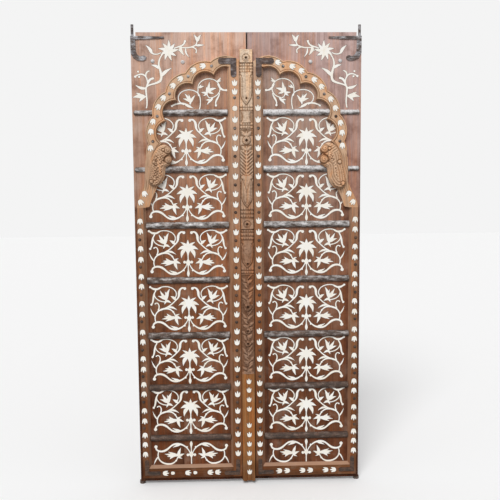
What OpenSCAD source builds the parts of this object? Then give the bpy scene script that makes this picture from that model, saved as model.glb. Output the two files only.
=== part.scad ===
// Two-leaf carved plank door with iron bars and bone inlay, hung on pivot pins.
// Millimetres, +Z up. The front of the door faces -Y.

/* [Leaves] */
// Width across both leaves
door_width = 1000; // [900:1:1200]
// Height of a leaf
leaf_height = 2006; // [1900:1:2300]
// Gap left between the two leaves where their corners pass as they swing
leaf_gap = 0.5; // [0.3:0.1:4]
// Thickness of the boards
board_thick = 32; // [26:1:45]
// Thickness of the ledges across the back
ledge_thick = 28; // [18:1:40]
// Height of a ledge
ledge_height = 95; // [60:1:140]
// Distance of the outer ledges from the ends of the leaf
ledge_inset = 230; // [160:1:300]

/* [Applied frame] */
// How far stiles, rail and arch stand out from the boards
frame_thick = 18; // [17:0.5:26]
// Width of the bevel along the panel side of stiles and rail
bevel_width = 10; // [4:0.5:16]
// Width of the outer stile
outer_stile_width = 37; // [30:0.5:46]
// Board left bare outside the outer stile
edge_margin = 13; // [8:0.5:24]
// Width of the left inner stile
left_inner_width = 51; // [40:0.5:60]
// Width of the right inner stile
right_inner_width = 42.5; // [36:0.5:60]
// Height of the bottom rail with its bevel
rail_height = 55; // [46:0.5:80]
// Board left bare below the bottom rail
rail_margin = 20; // [8:0.5:40]

/* [Arch] */
// Board left bare above the crown of the arch
arch_drop = 101; // [90:1:140]
// Distance of the arch centre from the middle of the door
arch_middle = 71; // [60:1:90]
// Width of the arch between its two scalloped edges
arch_band = 47; // [42:0.5:54]
// Board left bare outside the left arch
left_arch_edge = 54; // [50:0.5:66]
// Board left bare outside the right arch
right_arch_edge = 60; // [50:0.5:66]
// End of the left arch below the top of the leaf
left_foot_drop = 753; // [735:1:775]
// End of the right arch below the top of the leaf
right_foot_drop = 759; // [735:1:775]
// Width of the raised rim along both edges of the arch
rim_width = 4.5; // [2:0.5:6]
// How far the rim stands out from the face of the arch
rim_rise = 4; // [2:0.5:8]

/* [Bird brackets] */
// How far the birds stand out from the boards
bracket_proud = 44; // [38:1:60]
// Height of the left bird
left_bird_height = 180; // [165:1:195]
// Height of the right bird
right_bird_height = 202; // [175:1:210]
// Distance of the left bird's neck from the outside of the arch
left_bird_inset = 70; // [66:1:78]
// Distance of the right bird's neck from the outside of the arch
right_bird_inset = 72; // [70:1:80]

/* [Bars] */
// Radius of the half-round bars
bar_radius = 15; // [10:0.5:15.5]
// Height of the top bar below the top of the leaf
bar_drop = 342; // [325:1:360]
// Height of the lowest bar above the foot of the leaf
foot_bar = 191.6; // [180:0.1:205]

/* [Cover strip] */
// Reach of the cover strip over its own leaf, from the middle
strip_seat = 33; // [24:0.5:40]
// Reach of the cover strip over the other leaf, from the middle
strip_lap = 24; // [14:0.5:30]
// Gap between the cover strip and the leaf it laps
strip_clear = 0.6; // [0.3:0.1:2]
// Thickness of the cover strip without its carving
strip_thick = 20; // [14:0.5:26]
// How far the carving of the strip stands out from the boards
strip_proud = 34; // [30:0.5:42]
// Height of the plain splice at the foot of the strip
splice_height = 500; // [400:1:620]

/* [Iron] */
// Thickness of the angle plates and the straps
plate_thick = 4; // [2:0.5:7]
// Width of the arms of the crown plates
plate_width = 25; // [18:0.5:28]
// Width of the arms of the corner plates
corner_width = 18; // [12:0.5:20]
// Radius of a dome stud
stud_radius = 7; // [4:0.5:9]
// Height of a dome stud
stud_height = 5; // [3:0.5:8]

/* [Pivots] */
// Radius of the pivot pins
pin_radius = 6; // [4:0.5:8]
// How far the top pin stands above the leaf
top_pin_rise = 35; // [20:1:60]
// Clearance around the bottom pin in its socket
pin_play = 0.05; // [0.02:0.01:0.09]
// Depth of the bore in the floor socket
socket_depth = 10; // [6:0.5:14]
// Wall of the floor socket around its bore
socket_wall = 7; // [4:0.5:12]

/* [Inlay] */
// How far the bone inlay stands out from the wood
inlay_thick = 1; // [0.6:0.1:1.6]
// Length of a bone bud
bud_length = 28; // [20:0.5:29]
// Straight steps in each curve of the scrolls
curve_steps = 3; // [2:1:8]

/* [Hidden] */
$fn = 64;
left = -1;
right = 1;

board_color = [0.47, 0.27, 0.18];
frame_color = [0.50, 0.30, 0.19];
carved_color = [0.66, 0.47, 0.31];
iron_color = [0.24, 0.23, 0.23];
bone_color = [0.93, 0.89, 0.81];

// Floor socket and the lift of the leaves above the floor
socket_floor = 3;
socket_gap = 2;
lift = socket_floor + socket_depth + socket_gap;
// Half of the depth difference, so that the origin is in the middle of the depth
mid_depth = (board_thick + ledge_thick - bracket_proud) / 2;
half = door_width / 2;
pivot_x = half - pin_radius;
pivot_y = board_thick / 2;
// The corners of a leaf swing out past its edge by the second term; kept to hundredths
leaf_edge = ceil(50 * leaf_gap + 50 * pivot_y * pivot_y / pivot_x) / 100;

// Stiles
outer_far = half - edge_margin;
outer_near = outer_far - outer_stile_width;
strip_gap_left = 2;
strip_gap_right = 3.5;
function inner_near(s) = s < 0 ? strip_seat + strip_gap_left : strip_lap + strip_gap_right;
function inner_far(s) = inner_near(s) + (s < 0 ? left_inner_width : right_inner_width);
function panel_middle(s) = (inner_far(s) + outer_near) / 2;
function panel_width(s) = outer_near - inner_far(s);
rail_top = rail_margin + rail_height;

// Arch: a ring of lobes about one centre; each lobe is a circle
lobe_first = 4.4;
lobe_step = 19;
lobe_count = 6;
lobe_share = 0.1865;
function arch_edge(s) = s < 0 ? left_arch_edge : right_arch_edge;
function arch_ring(s) = (half - arch_edge(s) - arch_middle - arch_band) / (1 + lobe_share);
function lobe_in(s) = arch_ring(s) * lobe_share;
function lobe_out(s) = lobe_in(s) + arch_band;
function arch_z(s) = leaf_height - arch_drop - arch_ring(s) - lobe_out(s);
function arch_at(s, radius, a) = [arch_middle + radius * sin(a), arch_z(s) + radius * cos(a)];
function lobe_angle(k) = lobe_first + lobe_step * k;
function lobe_at(s, k) = arch_at(s, arch_ring(s), lobe_angle(k));
function crown_low(s) = lobe_at(s, 0)[1] + lobe_in(s) + 1;
// The straight foot of the arch, down to the outer stile
function foot_x(s) = lobe_at(s, lobe_count - 1)[0] + lobe_out(s);
function foot_top(s) = lobe_at(s, lobe_count - 1)[1];
function foot_end(s) = leaf_height - (s < 0 ? left_foot_drop : right_foot_drop);

// Birds, drawn from the top of the neck
bird_drawn = 190;
bird_hang = 50;
function bird_scale(s) = (s < 0 ? left_bird_height : right_bird_height) / bird_drawn;
function bird_at(s) = [
  foot_x(s) - (s < 0 ? left_bird_inset : right_bird_inset),
  lobe_at(s, lobe_count - 2)[1] - bird_hang
];

// Bars, counted from the top, with the small unevenness of hand work
bar_count = 7;
bar_top = leaf_height - bar_drop;
bar_pitch = (bar_top - foot_bar) / (bar_count - 1);
bar_shift = [0, 0, 0, 0, -5, 1, 11];
function bar_z(k) = bar_top - bar_pitch * (k - 1) + bar_shift[k - 1];
bar_fit = 0.3;
bar_end = 5;

// Inlay, drawn for a panel of a given width between bars at a given distance
drawn_panel = 364;
drawn_pitch = 245.4;
drawn_bud = 25;
motif_rise = 80;
function motif_scale(s) = min(panel_width(s) / drawn_panel, bar_pitch / drawn_pitch);
function beside_bar(k, d) = bar_z(k) + d * bar_pitch / drawn_pitch;
stile_bud_steps = [17, -33, -110, -156];
outer_bud_steps = [20, -24, -101, -149];
stud_steps = [-69, -190];
spandrel_studs = [[93, 122], [223, 126]];
outer_stud_shift = 8;
bud_lean = 3.6;
// The buds and studs of each arch stray a little from the lobes
function bud_drift(s, k) = s < 0 ? 0.85 * (1 - k) : 1.5 - 0.6 * (k - 1);
function stud_drift(s, k) = s < 0 ? -0.4 * k : 0.9 - 0.25 * k;

// Boards
board_seam_1 = 102;
board_seam_2 = 300;
ledge_near = 30;
ledge_far = 24;
notch_width = 22;
notch_height = 24;
shoe_length = 60;
shoe_half = 10;
shoe_thick = 6;

module place() translate([0, -mid_depth, lift]) children();

module on_side(s) {
  if (s < 0) mirror([1, 0, 0]) children();
  else children();
}

// A flat drawing, x across and y up, raised toward the front from a given face
module raised(thick, from = 0) {
  translate([0, -from, 0]) rotate([90, 0, 0]) linear_extrude(thick) children();
}

module box(from, to) translate(from) cube(to - from);

// Curves for the scrolls
function bend(p, k, t) =
  pow(1 - t, 3) * p[k] + 3 * t * pow(1 - t, 2) * p[k + 1]
  + 3 * t * t * (1 - t) * p[k + 2] + pow(t, 3) * p[k + 3];
function along(p) = concat(
  [for (k = [0:3:len(p) - 4], i = [0:curve_steps - 1]) bend(p, k, i / curve_steps)],
  [p[len(p) - 1]]
);
function unit(v) = v / norm(v);
function side_of(q, i) =
  let (d = unit(q[min(i + 1, len(q) - 1)] - q[max(i - 1, 0)])) [-d[1], d[0]];
function width_at(w, f) =
  let (g = f * (len(w) - 1), k = min(floor(g), len(w) - 2)) w[k] + (w[k + 1] - w[k]) * (g - k);
function band(q, w) = concat(
  [for (i = [0:len(q) - 1]) q[i] + side_of(q, i) * width_at(w, i / (len(q) - 1)) / 2],
  [for (i = [len(q) - 1:-1:0]) q[i] - side_of(q, i) * width_at(w, i / (len(q) - 1)) / 2]
);
module stem(p, w) polygon(band(along(p), w));
module oval(c, rx, ry, from, to, w) {
  n = curve_steps * 4;
  polygon(band([for (i = [0:n]) let (a = from + (to - from) * i / n) c + [rx * cos(a), ry * sin(a)]], w));
}
// A leaf from base to tip, with the swell of each side
module leaf(base, tip, a, b) {
  d = tip - base;
  n = unit([-d[1], d[0]]);
  polygon([base, base + d * 0.42 - n * b, tip, base + d * 0.42 + n * a]);
}
module ball(c, r) translate(c) circle(r, $fn = 8);

// Scroll motif: lower half from the cross down and out
module scroll_low_half() {
  stem([[5, -6], [14, -34], [38, -52], [64, -52], [92, -52], [98, -32], [118, -22], [136, -13],
    [162, -18], [161, -40]], [3, 8, 8, 7]);
  stem([[148, -20], [162, 14], [140, 42], [102, 43], [80, 43], [66, 26], [60, 6]], [4, 6, 5]);
  ball([161, -41], 7);
  ball([20, 0], 6.5);
  leaf([148, 6], [171, 44], 3, 4);
  leaf([62, 12], [33, -5], 6, 6);
  leaf([61, 8], [49, -31], 6, 6);
  leaf([57, 3], [121, 3], 3, 15);
  leaf([76, -6], [98, 20], 5, 6);
}
module scroll_low_middle() {
  polygon([[-2.5, 2], [-8, 4], [-20, 4], [-20, -4], [-8, -5], [-2.5, -12], [-2, -34], [-6, -50], [0, -64],
    [6, -50], [2, -34], [2.5, -12], [8, -5], [20, -4], [20, 4], [8, 4], [2.5, 2]]);
}
module scroll_up_half() {
  stem([[132, 35], [98, 44], [78, 60], [64, 74], [50, 88], [43, 92], [42, 110], [41, 128], [24, 138],
    [14, 127]], [6, 5, 8, 6]);
  oval([104, 108], 50, 33.5, 210, -75, [5, 4.5, 5]);
  ball([14, 127], 5.5);
  stem([[124, 138], [142, 126], [158, 130], [170, 141]], [6, 6]);
  stem([[148, 121], [160, 104], [152, 82], [166, 66]], [6, 6]);
  stem([[137, 34], [124, 58], [140, 78], [150, 66]], [5, 4]);
  leaf([94, 49], [53, 35], 3, 9);
  leaf([62, 82], [82, 101], 5, 5);
  polygon([[82, 66], [96, 76], [95, 90], [86, 104], [81, 131], [97, 121], [104, 116], [113, 130], [112, 116],
    [132, 120], [120, 108], [135, 102], [116, 97], [108, 90], [107, 80], [120, 66], [101, 71]]);
}
module scroll_up_middle() {
  polygon([[-2.5, 0], [-2.5, 38], [-10, 53], [-17, 54], [-24, 36], [-31, 20], [-33, 38], [-27, 55],
    [-45, 54], [-28, 68], [-20, 71], [-35, 83], [-17, 82], [-8, 76], [-5, 90], [0, 99],
    [5, 90], [8, 76], [17, 82], [35, 83], [20, 71], [28, 68], [45, 54], [27, 55], [33, 38], [31, 20],
    [24, 36], [17, 54], [10, 53], [2.5, 38], [2.5, 0]]);
}
module both_ways() {
  children();
  mirror([1, 0]) children();
}
module scroll_low() {
  both_ways() scroll_low_half();
  scroll_low_middle();
}
module scroll_full() {
  scroll_low();
  both_ways() scroll_up_half();
  scroll_up_middle();
}
// The two rings of the panel under the arch, drawn from the panel's middle and the top bar
module scroll_top() {
  oval([-106, 100], 46, 39, 190, -95, [5, 5]);
  oval([-16, 62], 46, 37, -170, 175, [5, 5]);
  stem([[-62, 19], [-64, 40], [-58, 54], [-57, 67], [-57, 80], [-62, 84], [-62, 95]], [5, 5, 5]);
  stem([[-149, 113], [-160, 94], [-166, 94], [-178, 95]], [6, 8]);
  stem([[-151, 94], [-154, 64], [-142, 58], [-138, 36]], [6, 8]);
  stem([[-22, 26], [4, 40], [36, 46], [62, 32]], [6, 7]);
  leaf([-133, 132], [-158, 144], 4, 5);
  leaf([-113, 61], [-92, 40], 6, 6);
  leaf([-2, 32], [-36, 26], 4, 5);
  leaf([-18, 24], [-30, 88], 8, 7);
  leaf([-28, 64], [4, 88], 7, 7);
  leaf([-26, 62], [12, 62], 6, 6);
  leaf([-86, 58], [-108, 126], 8, 8);
  leaf([-100, 98], [-138, 106], 7, 7);
  leaf([-102, 90], [-134, 84], 6, 6);
}
// Flower spray, drawn from the upper outer corner of a leaf
module spandrel_spray() {
  stem([[-62, -322], [-70, -296], [-62, -268], [-62, -240], [-60, -218], [-104, -222], [-124, -206],
    [-136, -190], [-126, -164], [-120, -142], [-116, -116], [-134, -92], [-144, -86]], [5, 6, 7, 6, 4]);
  for (a = [8:45:360]) leaf([-160, -78] + 5 * [cos(a), sin(a)], [-160, -78] + 44 * [cos(a), sin(a)], 9, 9);
  stem([[-122, -84], [-108, -96], [-88, -90], [-68, -56]], [5, 9]);
  stem([[-190, -68], [-212, -58], [-228, -60], [-234, -38]], [5, 7]);
  stem([[-208, -58], [-238, -72], [-264, -62], [-274, -60], [-290, -52], [-294, -30], [-304, -14]],
    [4, 5, 6]);
  leaf([-268, -62], [-316, -54], 4, 4);
  leaf([-284, -58], [-288, -10], 6, 5);
  leaf([-216, -62], [-230, -96], 6, 6);
  leaf([-238, -66], [-252, -104], 4, 4);
  leaf([-264, -62], [-294, -88], 4, 4);
  leaf([-128, -184], [-172, -152], 8, 6);
  leaf([-123, -152], [-88, -138], 6, 6);
  leaf([-64, -262], [-6, -274], 10, 12);
  leaf([-64, -238], [-18, -222], 6, 6);
  stem([[-68, -232], [-76, -206], [-84, -198], [-92, -196]], [5, 8]);
  stem([[-72, -216], [-70, -176], [-48, -168], [-20, -186]], [5, 6]);
}
module bud() {
  scale(bud_length / drawn_bud)
    polygon([[0, 14], [3.5, 6], [7.5, 8.5], [9.5, 0], [7, -8], [0, -11], [-7, -8], [-9.5, 0], [-7.5, 8.5],
      [-3.5, 6]]);
}
module worn_bud() scale(bud_length / drawn_bud) circle(9.5, $fn = 9);
module broken_bud() scale(bud_length / drawn_bud) polygon([[-6, -9], [6, -9], [7, 6], [1, 9], [-7, 5]]);

// Outlines that several pieces share
module arch_disc(s) translate(arch_at(s, 0, 0)) circle(arch_ring(s) * 1.02, $fn = 128);
module lobes(s, r) for (k = [0:lobe_count - 1]) translate(lobe_at(s, k)) circle(r);
module arch_field(s, shrink = 0) {
  difference() {
    intersection() {
      union() {
        arch_disc(s);
        lobes(s, lobe_out(s) - shrink);
      }
      translate([0, foot_top(s)]) square([half, half]);
    }
    arch_disc(s);
    lobes(s, lobe_in(s) + shrink);
  }
}
module arch_foot(s) {
  x = foot_x(s);
  top = foot_top(s);
  e = foot_end(s);
  polygon([[x - arch_band, top], [x, top], [x + 6, top - 60], [x + 6, e + 110], [outer_far - 4, e + 24],
    [outer_far, e], [outer_near, e], [x - 10, e + 4], [x - 21, e + 38], [x - 39, e + 76],
    [x - arch_band, e + 98]]);
}
module arch_outline(s) {
  difference() {
    union() {
      arch_field(s);
      arch_foot(s);
    }
    square([inner_near(s), leaf_height]);
    translate([inner_near(s), 0]) square([inner_far(s) - inner_near(s), crown_low(s)]);
    bird(s) bird_outline();
  }
}
// The bird looks toward the middle of the door; its tail lies on the foot of the arch
module bird(s) translate(bird_at(s)) scale(bird_scale(s)) children();
module bird_outline() {
  polygon([[0, 0], [-18, -1], [-33, -12], [-42, -25], [-42, -38], [-35, -46], [-44, -62], [-43, -76],
    [-37, -88], [-26, -98], [-16, -104], [-13, -122], [-11, -140], [-6, -156], [3, -171], [15, -183],
    [30, -190], [48, -188], [62, -176], [66, -158], [61, -134], [56, -110], [51, -84], [45, -56], [35, -32],
    [20, -12]]);
}
module bird_wing() {
  polygon([[4, -20], [22, -34], [38, -64], [46, -98], [54, -134], [58, -160], [44, -178], [24, -180],
    [6, -164], [-2, -140], [-4, -112], [4, -84]]);
}

// Wood
module board(n) {
  x0 = n == 1 ? leaf_edge : n == 2 ? board_seam_1 : board_seam_2;
  x1 = n == 1 ? board_seam_1 : n == 2 ? board_seam_2 : half;
  difference() {
    box([x0, 0, 0], [x1, board_thick, leaf_height]);
    if (n == 3) {
      notch_low = leaf_height - notch_height;
      box([half - notch_width, -1, notch_low], [half + 1, board_thick + 1, leaf_height + 1]);
      box([half - shoe_length, pivot_y - shoe_half, -1], [half + 1, pivot_y + shoe_half, shoe_thick]);
    }
  }
}
module ledge(z) {
  low = z - ledge_height / 2;
  box([ledge_near, board_thick, low], [half - ledge_far, board_thick + ledge_thick, low + ledge_height]);
}
module outer_stile(s) {
  translate([0, 0, rail_margin]) linear_extrude(foot_end(s) - rail_margin)
    polygon([[outer_near, 0], [outer_near + bevel_width, -frame_thick], [outer_far, -frame_thick],
      [outer_far, 0]]);
}
module inner_stile(s) {
  translate([0, 0, rail_margin]) linear_extrude(crown_low(s) - rail_margin)
    polygon([[inner_near(s), 0], [inner_near(s), -frame_thick], [inner_far(s) - bevel_width, -frame_thick],
      [inner_far(s), 0]]);
}
// The rail's ends are cut to the bevels of the two stiles
module bottom_rail(s) {
  difference() {
    translate([inner_far(s) - bevel_width, 0, 0]) rotate([90, 0, 90])
      linear_extrude(panel_width(s) + 2 * bevel_width)
        polygon([[0, rail_margin], [-frame_thick, rail_margin], [-frame_thick, rail_top - bevel_width],
          [0, rail_top]]);
    inner_stile(s);
    outer_stile(s);
  }
}
module bar_round(from, to, k, grow = 0) {
  translate([from, 0, bar_z(k)]) rotate([90, 0, 90]) linear_extrude(to - from) intersection() {
    circle(bar_radius + grow);
    translate([-2 * bar_radius, -2 * bar_radius]) square([2 * bar_radius, 4 * bar_radius]);
  }
}
module bar(s, k) bar_round(inner_far(s), k < 3 ? half - bar_end : outer_near, k);
module bar_notches() {
  for (k = [1:bar_count]) translate([0, 0, bar_z(k)]) rotate([0, 90, 0])
    cylinder(r = bar_radius + bar_fit, h = half);
}
module arch(s) {
  difference() {
    union() {
      raised(frame_thick) arch_outline(s);
      raised(frame_thick + rim_rise) difference() {
        arch_field(s);
        arch_field(s, rim_width);
        square([inner_far(s), leaf_height]);
        bird(s) bird_outline();
      }
    }
    bar_notches();
  }
}
// Head with the two curls of the open beak, wing, boss and rows of feathers
module bracket(s) {
  difference() {
    union() {
      raised(frame_thick + 6) bird(s) bird_outline();
      raised(bracket_proud - 10) bird(s) bird_wing();
      raised(bracket_proud - 6) bird(s) intersection() {
        bird_outline();
        translate([-14, -34]) circle(26);
      }
      raised(bracket_proud) bird(s) intersection() {
        bird_outline();
        union() {
          translate([-30, -25]) circle(12);
          translate([-31, -70]) circle(13);
        }
      }
      raised(bracket_proud - 2) bird(s) {
        translate([-8, -26]) circle(6);
        translate([36, -80]) circle(7);
      }
      raised(bracket_proud - 5) bird(s) for (k = [0:2]) {
        leaf([18 + 4 * k, -88 - 26 * k], [38 + 4 * k, -120 - 20 * k], 6, 6);
        leaf([5 * k, -94 - 24 * k], [16 + 5 * k, -128 - 18 * k], 6, 6);
      }
    }
    bar_notches();
  }
}

// Iron
module angle_plate(corner, width, arms, flip_x, flip_z) {
  translate(corner) mirror([flip_x, 0, 0]) mirror([0, 0, flip_z]) raised(plate_thick, frame_thick) {
    square([arms[0], width]);
    square([width, arms[1]]);
    translate([arms[0], width / 2]) circle(width / 2);
    translate([width / 2, arms[1]]) circle(width / 2);
  }
}
plate_inset = 11;
crown_arms = [66, 68];
corner_arms = [62, 64];
module crown_plate(s) {
  top = crown_low(s) + plate_inset + plate_width;
  angle_plate([inner_near(s) + plate_inset, 0, top], plate_width, crown_arms, 0, 1);
}
module corner_plate_outer() {
  angle_plate([outer_far - 9, 0, rail_margin + 14], corner_width, corner_arms, 1, 0);
}
module corner_plate_inner(s) {
  angle_plate([inner_near(s) + plate_inset, 0, rail_margin + 9], corner_width, corner_arms, 0, 0);
}
module top_strap() {
  t = leaf_height;
  raised(plate_thick + 1) {
    polygon([[half, t - 16], [half, t - 31], [half - 60, t - 30], [half - 144, t - 26], [half - 144, t - 19],
      [half - 60, t - 17]]);
    polygon([[half, t - 20], [half, t - 88], [half - 12, t - 108], [half - 30, t - 119], [half - 52, t - 121],
      [half - 66, t - 114], [half - 67, t - 104], [half - 56, t - 98], [half - 40, t - 102],
      [half - 28, t - 94], [half - 22, t - 80], [half - 20, t - 20]]);
  }
  box([half - notch_width, -1, t - notch_height], [half, board_thick - 6, t - notch_height + 8]);
  translate([pivot_x, pivot_y, t - notch_height + 2])
    cylinder(r = pin_radius, h = notch_height - 2 + top_pin_rise);
}
module foot_pivot() {
  box([half - shoe_length, pivot_y - shoe_half, 0], [half, pivot_y + shoe_half, shoe_thick]);
  translate([pivot_x, pivot_y, -socket_gap - socket_depth])
    cylinder(r = pin_radius, h = socket_gap + socket_depth + shoe_thick / 2);
}
module socket() {
  translate([pivot_x, pivot_y, -lift]) difference() {
    cylinder(r = pin_radius + socket_wall, h = socket_floor + socket_depth);
    translate([0, 0, socket_floor]) cylinder(r = pin_radius + pin_play, h = socket_depth + 1);
  }
}
module stud(at, face) {
  r = (stud_radius * stud_radius + stud_height * stud_height) / (2 * stud_height);
  translate([at[0], -face, at[1]]) rotate([90, 0, 0]) rotate_extrude() intersection() {
    translate([0, stud_height - r]) circle(r);
    square([stud_radius + 1, stud_height + 1]);
  }
}
module studs(s) {
  x_in = inner_near(s) + 20;
  r = arch_ring(s) + lobe_in(s) + arch_band * 0.26;
  for (k = [1:6], d = stud_steps) stud([x_in, beside_bar(k, d)], frame_thick);
  stud([x_in, beside_bar(1, 62)], frame_thick);
  for (k = [3:6], d = stud_steps) stud([outer_far - 9, beside_bar(k, d + outer_stud_shift)], frame_thick);
  for (k = [0:4]) stud(arch_at(s, r, lobe_angle(k + 0.5) + stud_drift(s, k)), frame_thick);
  for (p = spandrel_studs) stud([half - p[0], leaf_height - p[1]], 0);
}

// Bone
module frame_bud(at, turn) translate(at) rotate(turn) bud();
module arch_bud(s, a) frame_bud(arch_at(s, arch_ring(s) + lobe_in(s) + arch_band / 2, a), -90 - a);
module frame_buds(s) {
  x_in = inner_near(s) + 19;
  x_out = outer_far - 12;
  f = panel_width(s) / drawn_panel;
  worn = s < 0;
  raised(inlay_thick, frame_thick) {
    for (k = [1:7], i = [0:3]) {
      at = [x_in, beside_bar(k, stile_bud_steps[i])];
      if (k < 7 || i < 2) {
        if (worn && k == 1 && i == 0) translate(at) worn_bud();
        else frame_bud(at, 0);
      }
    }
    frame_bud([x_in, beside_bar(1, 124)], 0);
    frame_bud([x_in, beside_bar(1, 87)], 0);
    frame_bud([x_in, beside_bar(7, -74)], 0);
    for (k = [3:7], d = outer_bud_steps) if (k < 7 || d > -50) frame_bud([x_out, beside_bar(k, d)], 180);
    frame_bud([x_out, beside_bar(7, -70)], 180);
    frame_bud([foot_x(s) + 10, foot_end(s) + 61], 160);
    frame_bud([foot_x(s) + 28, foot_end(s) + 24], 150);
    for (k = [1:4], d = [-bud_lean, bud_lean]) arch_bud(s, lobe_angle(k) + d + bud_drift(s, k));
    arch_bud(s, lobe_angle(5) - 6.4);
    if (s > 0) arch_bud(s, lobe_angle(0) + 6.2);
    for (i = [0:5]) {
      at = [inner_far(s) + f * (62 + 102 * floor(i / 2) + 34 * (i % 2)), rail_margin + 22];
      if (worn && (i == 2 || i == 4)) translate(at) broken_bud();
      else frame_bud(at, 90);
    }
  }
}
module panel_inlay(s) {
  m = panel_middle(s);
  f = motif_scale(s);
  difference() {
    raised(inlay_thick) {
      difference() {
        for (k = [2, 3]) translate([m, beside_bar(k, motif_rise)]) scale(f) scroll_full();
        arch_outline(s);
        bird(s) bird_outline();
      }
      for (k = [4:7]) translate([m, beside_bar(k, motif_rise)]) scale(f) scroll_full();
      translate([m, beside_bar(7, -82)]) scale(f) mirror([0, 1]) scroll_low();
      difference() {
        translate([m, bar_top]) scale(f) scroll_top();
        arch_outline(s);
      }
    }
    if (s < 0) box([m - 165, -inlay_thick - 1, beside_bar(4, 71)], [m - 118, 1, beside_bar(4, 88)]);
    for (k = [1:bar_count]) bar_round(0, half, k);
  }
}
module spandrel_inlay(s) {
  raised(inlay_thick) difference() {
    translate([half, leaf_height]) spandrel_spray();
    arch_field(s);
    arch_foot(s);
    for (k = [1, 2]) translate([0, bar_z(k) - bar_radius]) square([half, 2 * bar_radius]);
  }
}

// Cover strip, on the left leaf; it laps over the right leaf
strip_mid = (strip_lap - strip_seat) / 2;
strip_half = (strip_lap + strip_seat) / 2;
strip_drop = 76;
strip_top = leaf_height - strip_drop;
module strip_back() box([0, -strip_clear, -1], [strip_lap + 1, 1, leaf_height]);
module roll(z, r) {
  translate([strip_mid - strip_half + 3, -strip_thick - 1.5, z]) rotate([0, 90, 0])
    cylinder(r = r, h = 2 * strip_half - 6);
}
module tongue(top, low, out) {
  r = strip_half - 4;
  raised(out) {
    translate([strip_mid - r, low + r]) square([2 * r, top - low - r]);
    translate([strip_mid, low + r]) circle(r);
  }
}
module rosette(z, r) {
  raised(strip_proud) difference() {
    translate([strip_mid, z]) circle(r);
    translate([strip_mid, z]) circle(r * 0.35);
  }
}
// The carving is drawn for a strip of a given length and follows the real one
strip_drawn = 1430;
function down(d) = strip_top - d * (strip_top - splice_height) / strip_drawn;
strip_rolls = [66, 79, 92, 242, 257, 318, 332, 686, 703, 720, 784, 801, 818, 954, 970];
module strip_block(top, low) {
  translate([strip_mid - strip_half + 2, down(low)]) square([2 * strip_half - 4, down(top) - down(low)]);
}
module cover_strip_shape() {
  t = strip_top;
  difference() {
    union() {
      raised(strip_thick) {
        translate([-strip_seat, splice_height]) square([2 * strip_half, t - splice_height - 6]);
        polygon([[strip_mid - 22, t - 6], [strip_mid - 12, t], [strip_mid - 6, t - 6]]);
        polygon([[strip_mid + 6, t - 6], [strip_mid + 14, t], [strip_mid + 24, t - 6]]);
      }
      raised(strip_proud - 4) {
        strip_block(10, 58);
        strip_block(730, 776);
      }
      rosette(down(36), 15);
      rosette(down(388), 18);
      rosette(down(753), 15);
      rosette(down(1124), 19);
      for (d = strip_rolls) roll(down(d), 6);
      tongue(down(96), down(236), strip_proud - 5);
      tongue(down(540), down(678), strip_proud - 5);
      tongue(down(826), down(948), strip_proud - 5);
      raised(strip_proud - 3) {
        translate([strip_mid - 15, down(312)]) square([30, down(264) - down(312)]);
        for (d = [430, 470, 510], w = [-1, 1]) {
          leaf([strip_mid + 5 * w, down(d)], [strip_mid - 22 * w, down(d) + 36], 8, 8);
        }
        for (k = [0, 1, 3, 4, 5, 6]) {
          w = k % 2 == 0 ? 1 : -1;
          z = down(1010 + 58 * k);
          leaf([strip_mid - 20 * w, z - 24], [strip_mid + 20 * w, z + 26], 14, 12);
        }
      }
    }
    strip_back();
    box([-strip_seat - 9, -99, 0], [strip_lap + 9, 9, splice_height]);
  }
}
module strip_splice_shape() {
  difference() {
    union() {
      raised(strip_thick) translate([-strip_seat, 0]) square([2 * strip_half, splice_height]);
      raised(strip_thick + 6) {
        translate([-strip_seat + 3, 0]) square([16, splice_height]);
        translate([strip_lap - 14, 0]) square([12, splice_height]);
      }
    }
    strip_back();
  }
}
drawn_splice = 500;
module splice_buds_shape() {
  x = (strip_lap - strip_seat + 5) / 2;
  raised(inlay_thick, strip_thick) for (z = [40, 84, 128, 172, 216, 260, 336, 380, 424, 464])
    translate([x, z * splice_height / drawn_splice]) scale(0.88) bud();
}

module left_board_inner() color(board_color) place() on_side(left) board(1);
module left_board_middle() color(board_color) place() on_side(left) board(2);
module left_board_outer() color(board_color) place() on_side(left) board(3);
module left_ledge_low() color(board_color) place() on_side(left) ledge(ledge_inset);
module left_ledge_middle() color(board_color) place() on_side(left) ledge(leaf_height / 2);
module left_ledge_top() color(board_color) place() on_side(left) ledge(leaf_height - ledge_inset);
module left_outer_stile() color(frame_color) place() on_side(left) outer_stile(left);
module left_inner_stile() color(frame_color) place() on_side(left) inner_stile(left);
module left_bottom_rail() color(frame_color) place() on_side(left) bottom_rail(left);
module left_arch() color(carved_color) place() on_side(left) arch(left);
module left_bracket() color(carved_color) place() on_side(left) bracket(left);
module left_bar_1() color(iron_color) place() on_side(left) bar(left, 1);
module left_bar_2() color(iron_color) place() on_side(left) bar(left, 2);
module left_bar_3() color(iron_color) place() on_side(left) bar(left, 3);
module left_bar_4() color(iron_color) place() on_side(left) bar(left, 4);
module left_bar_5() color(iron_color) place() on_side(left) bar(left, 5);
module left_bar_6() color(iron_color) place() on_side(left) bar(left, 6);
module left_bar_7() color(iron_color) place() on_side(left) bar(left, 7);
module left_crown_plate() color(iron_color) place() on_side(left) crown_plate(left);
module left_corner_plate_outer() color(iron_color) place() on_side(left) corner_plate_outer();
module left_corner_plate_inner() color(iron_color) place() on_side(left) corner_plate_inner(left);
module left_top_strap() color(iron_color) place() on_side(left) top_strap();
module left_foot_pivot() color(iron_color) place() on_side(left) foot_pivot();
module left_studs() color(iron_color) place() on_side(left) studs(left);
module left_panel_inlay() color(bone_color) place() on_side(left) panel_inlay(left);
module left_frame_buds() color(bone_color) place() on_side(left) frame_buds(left);
module left_spandrel_inlay() color(bone_color) place() on_side(left) spandrel_inlay(left);

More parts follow.
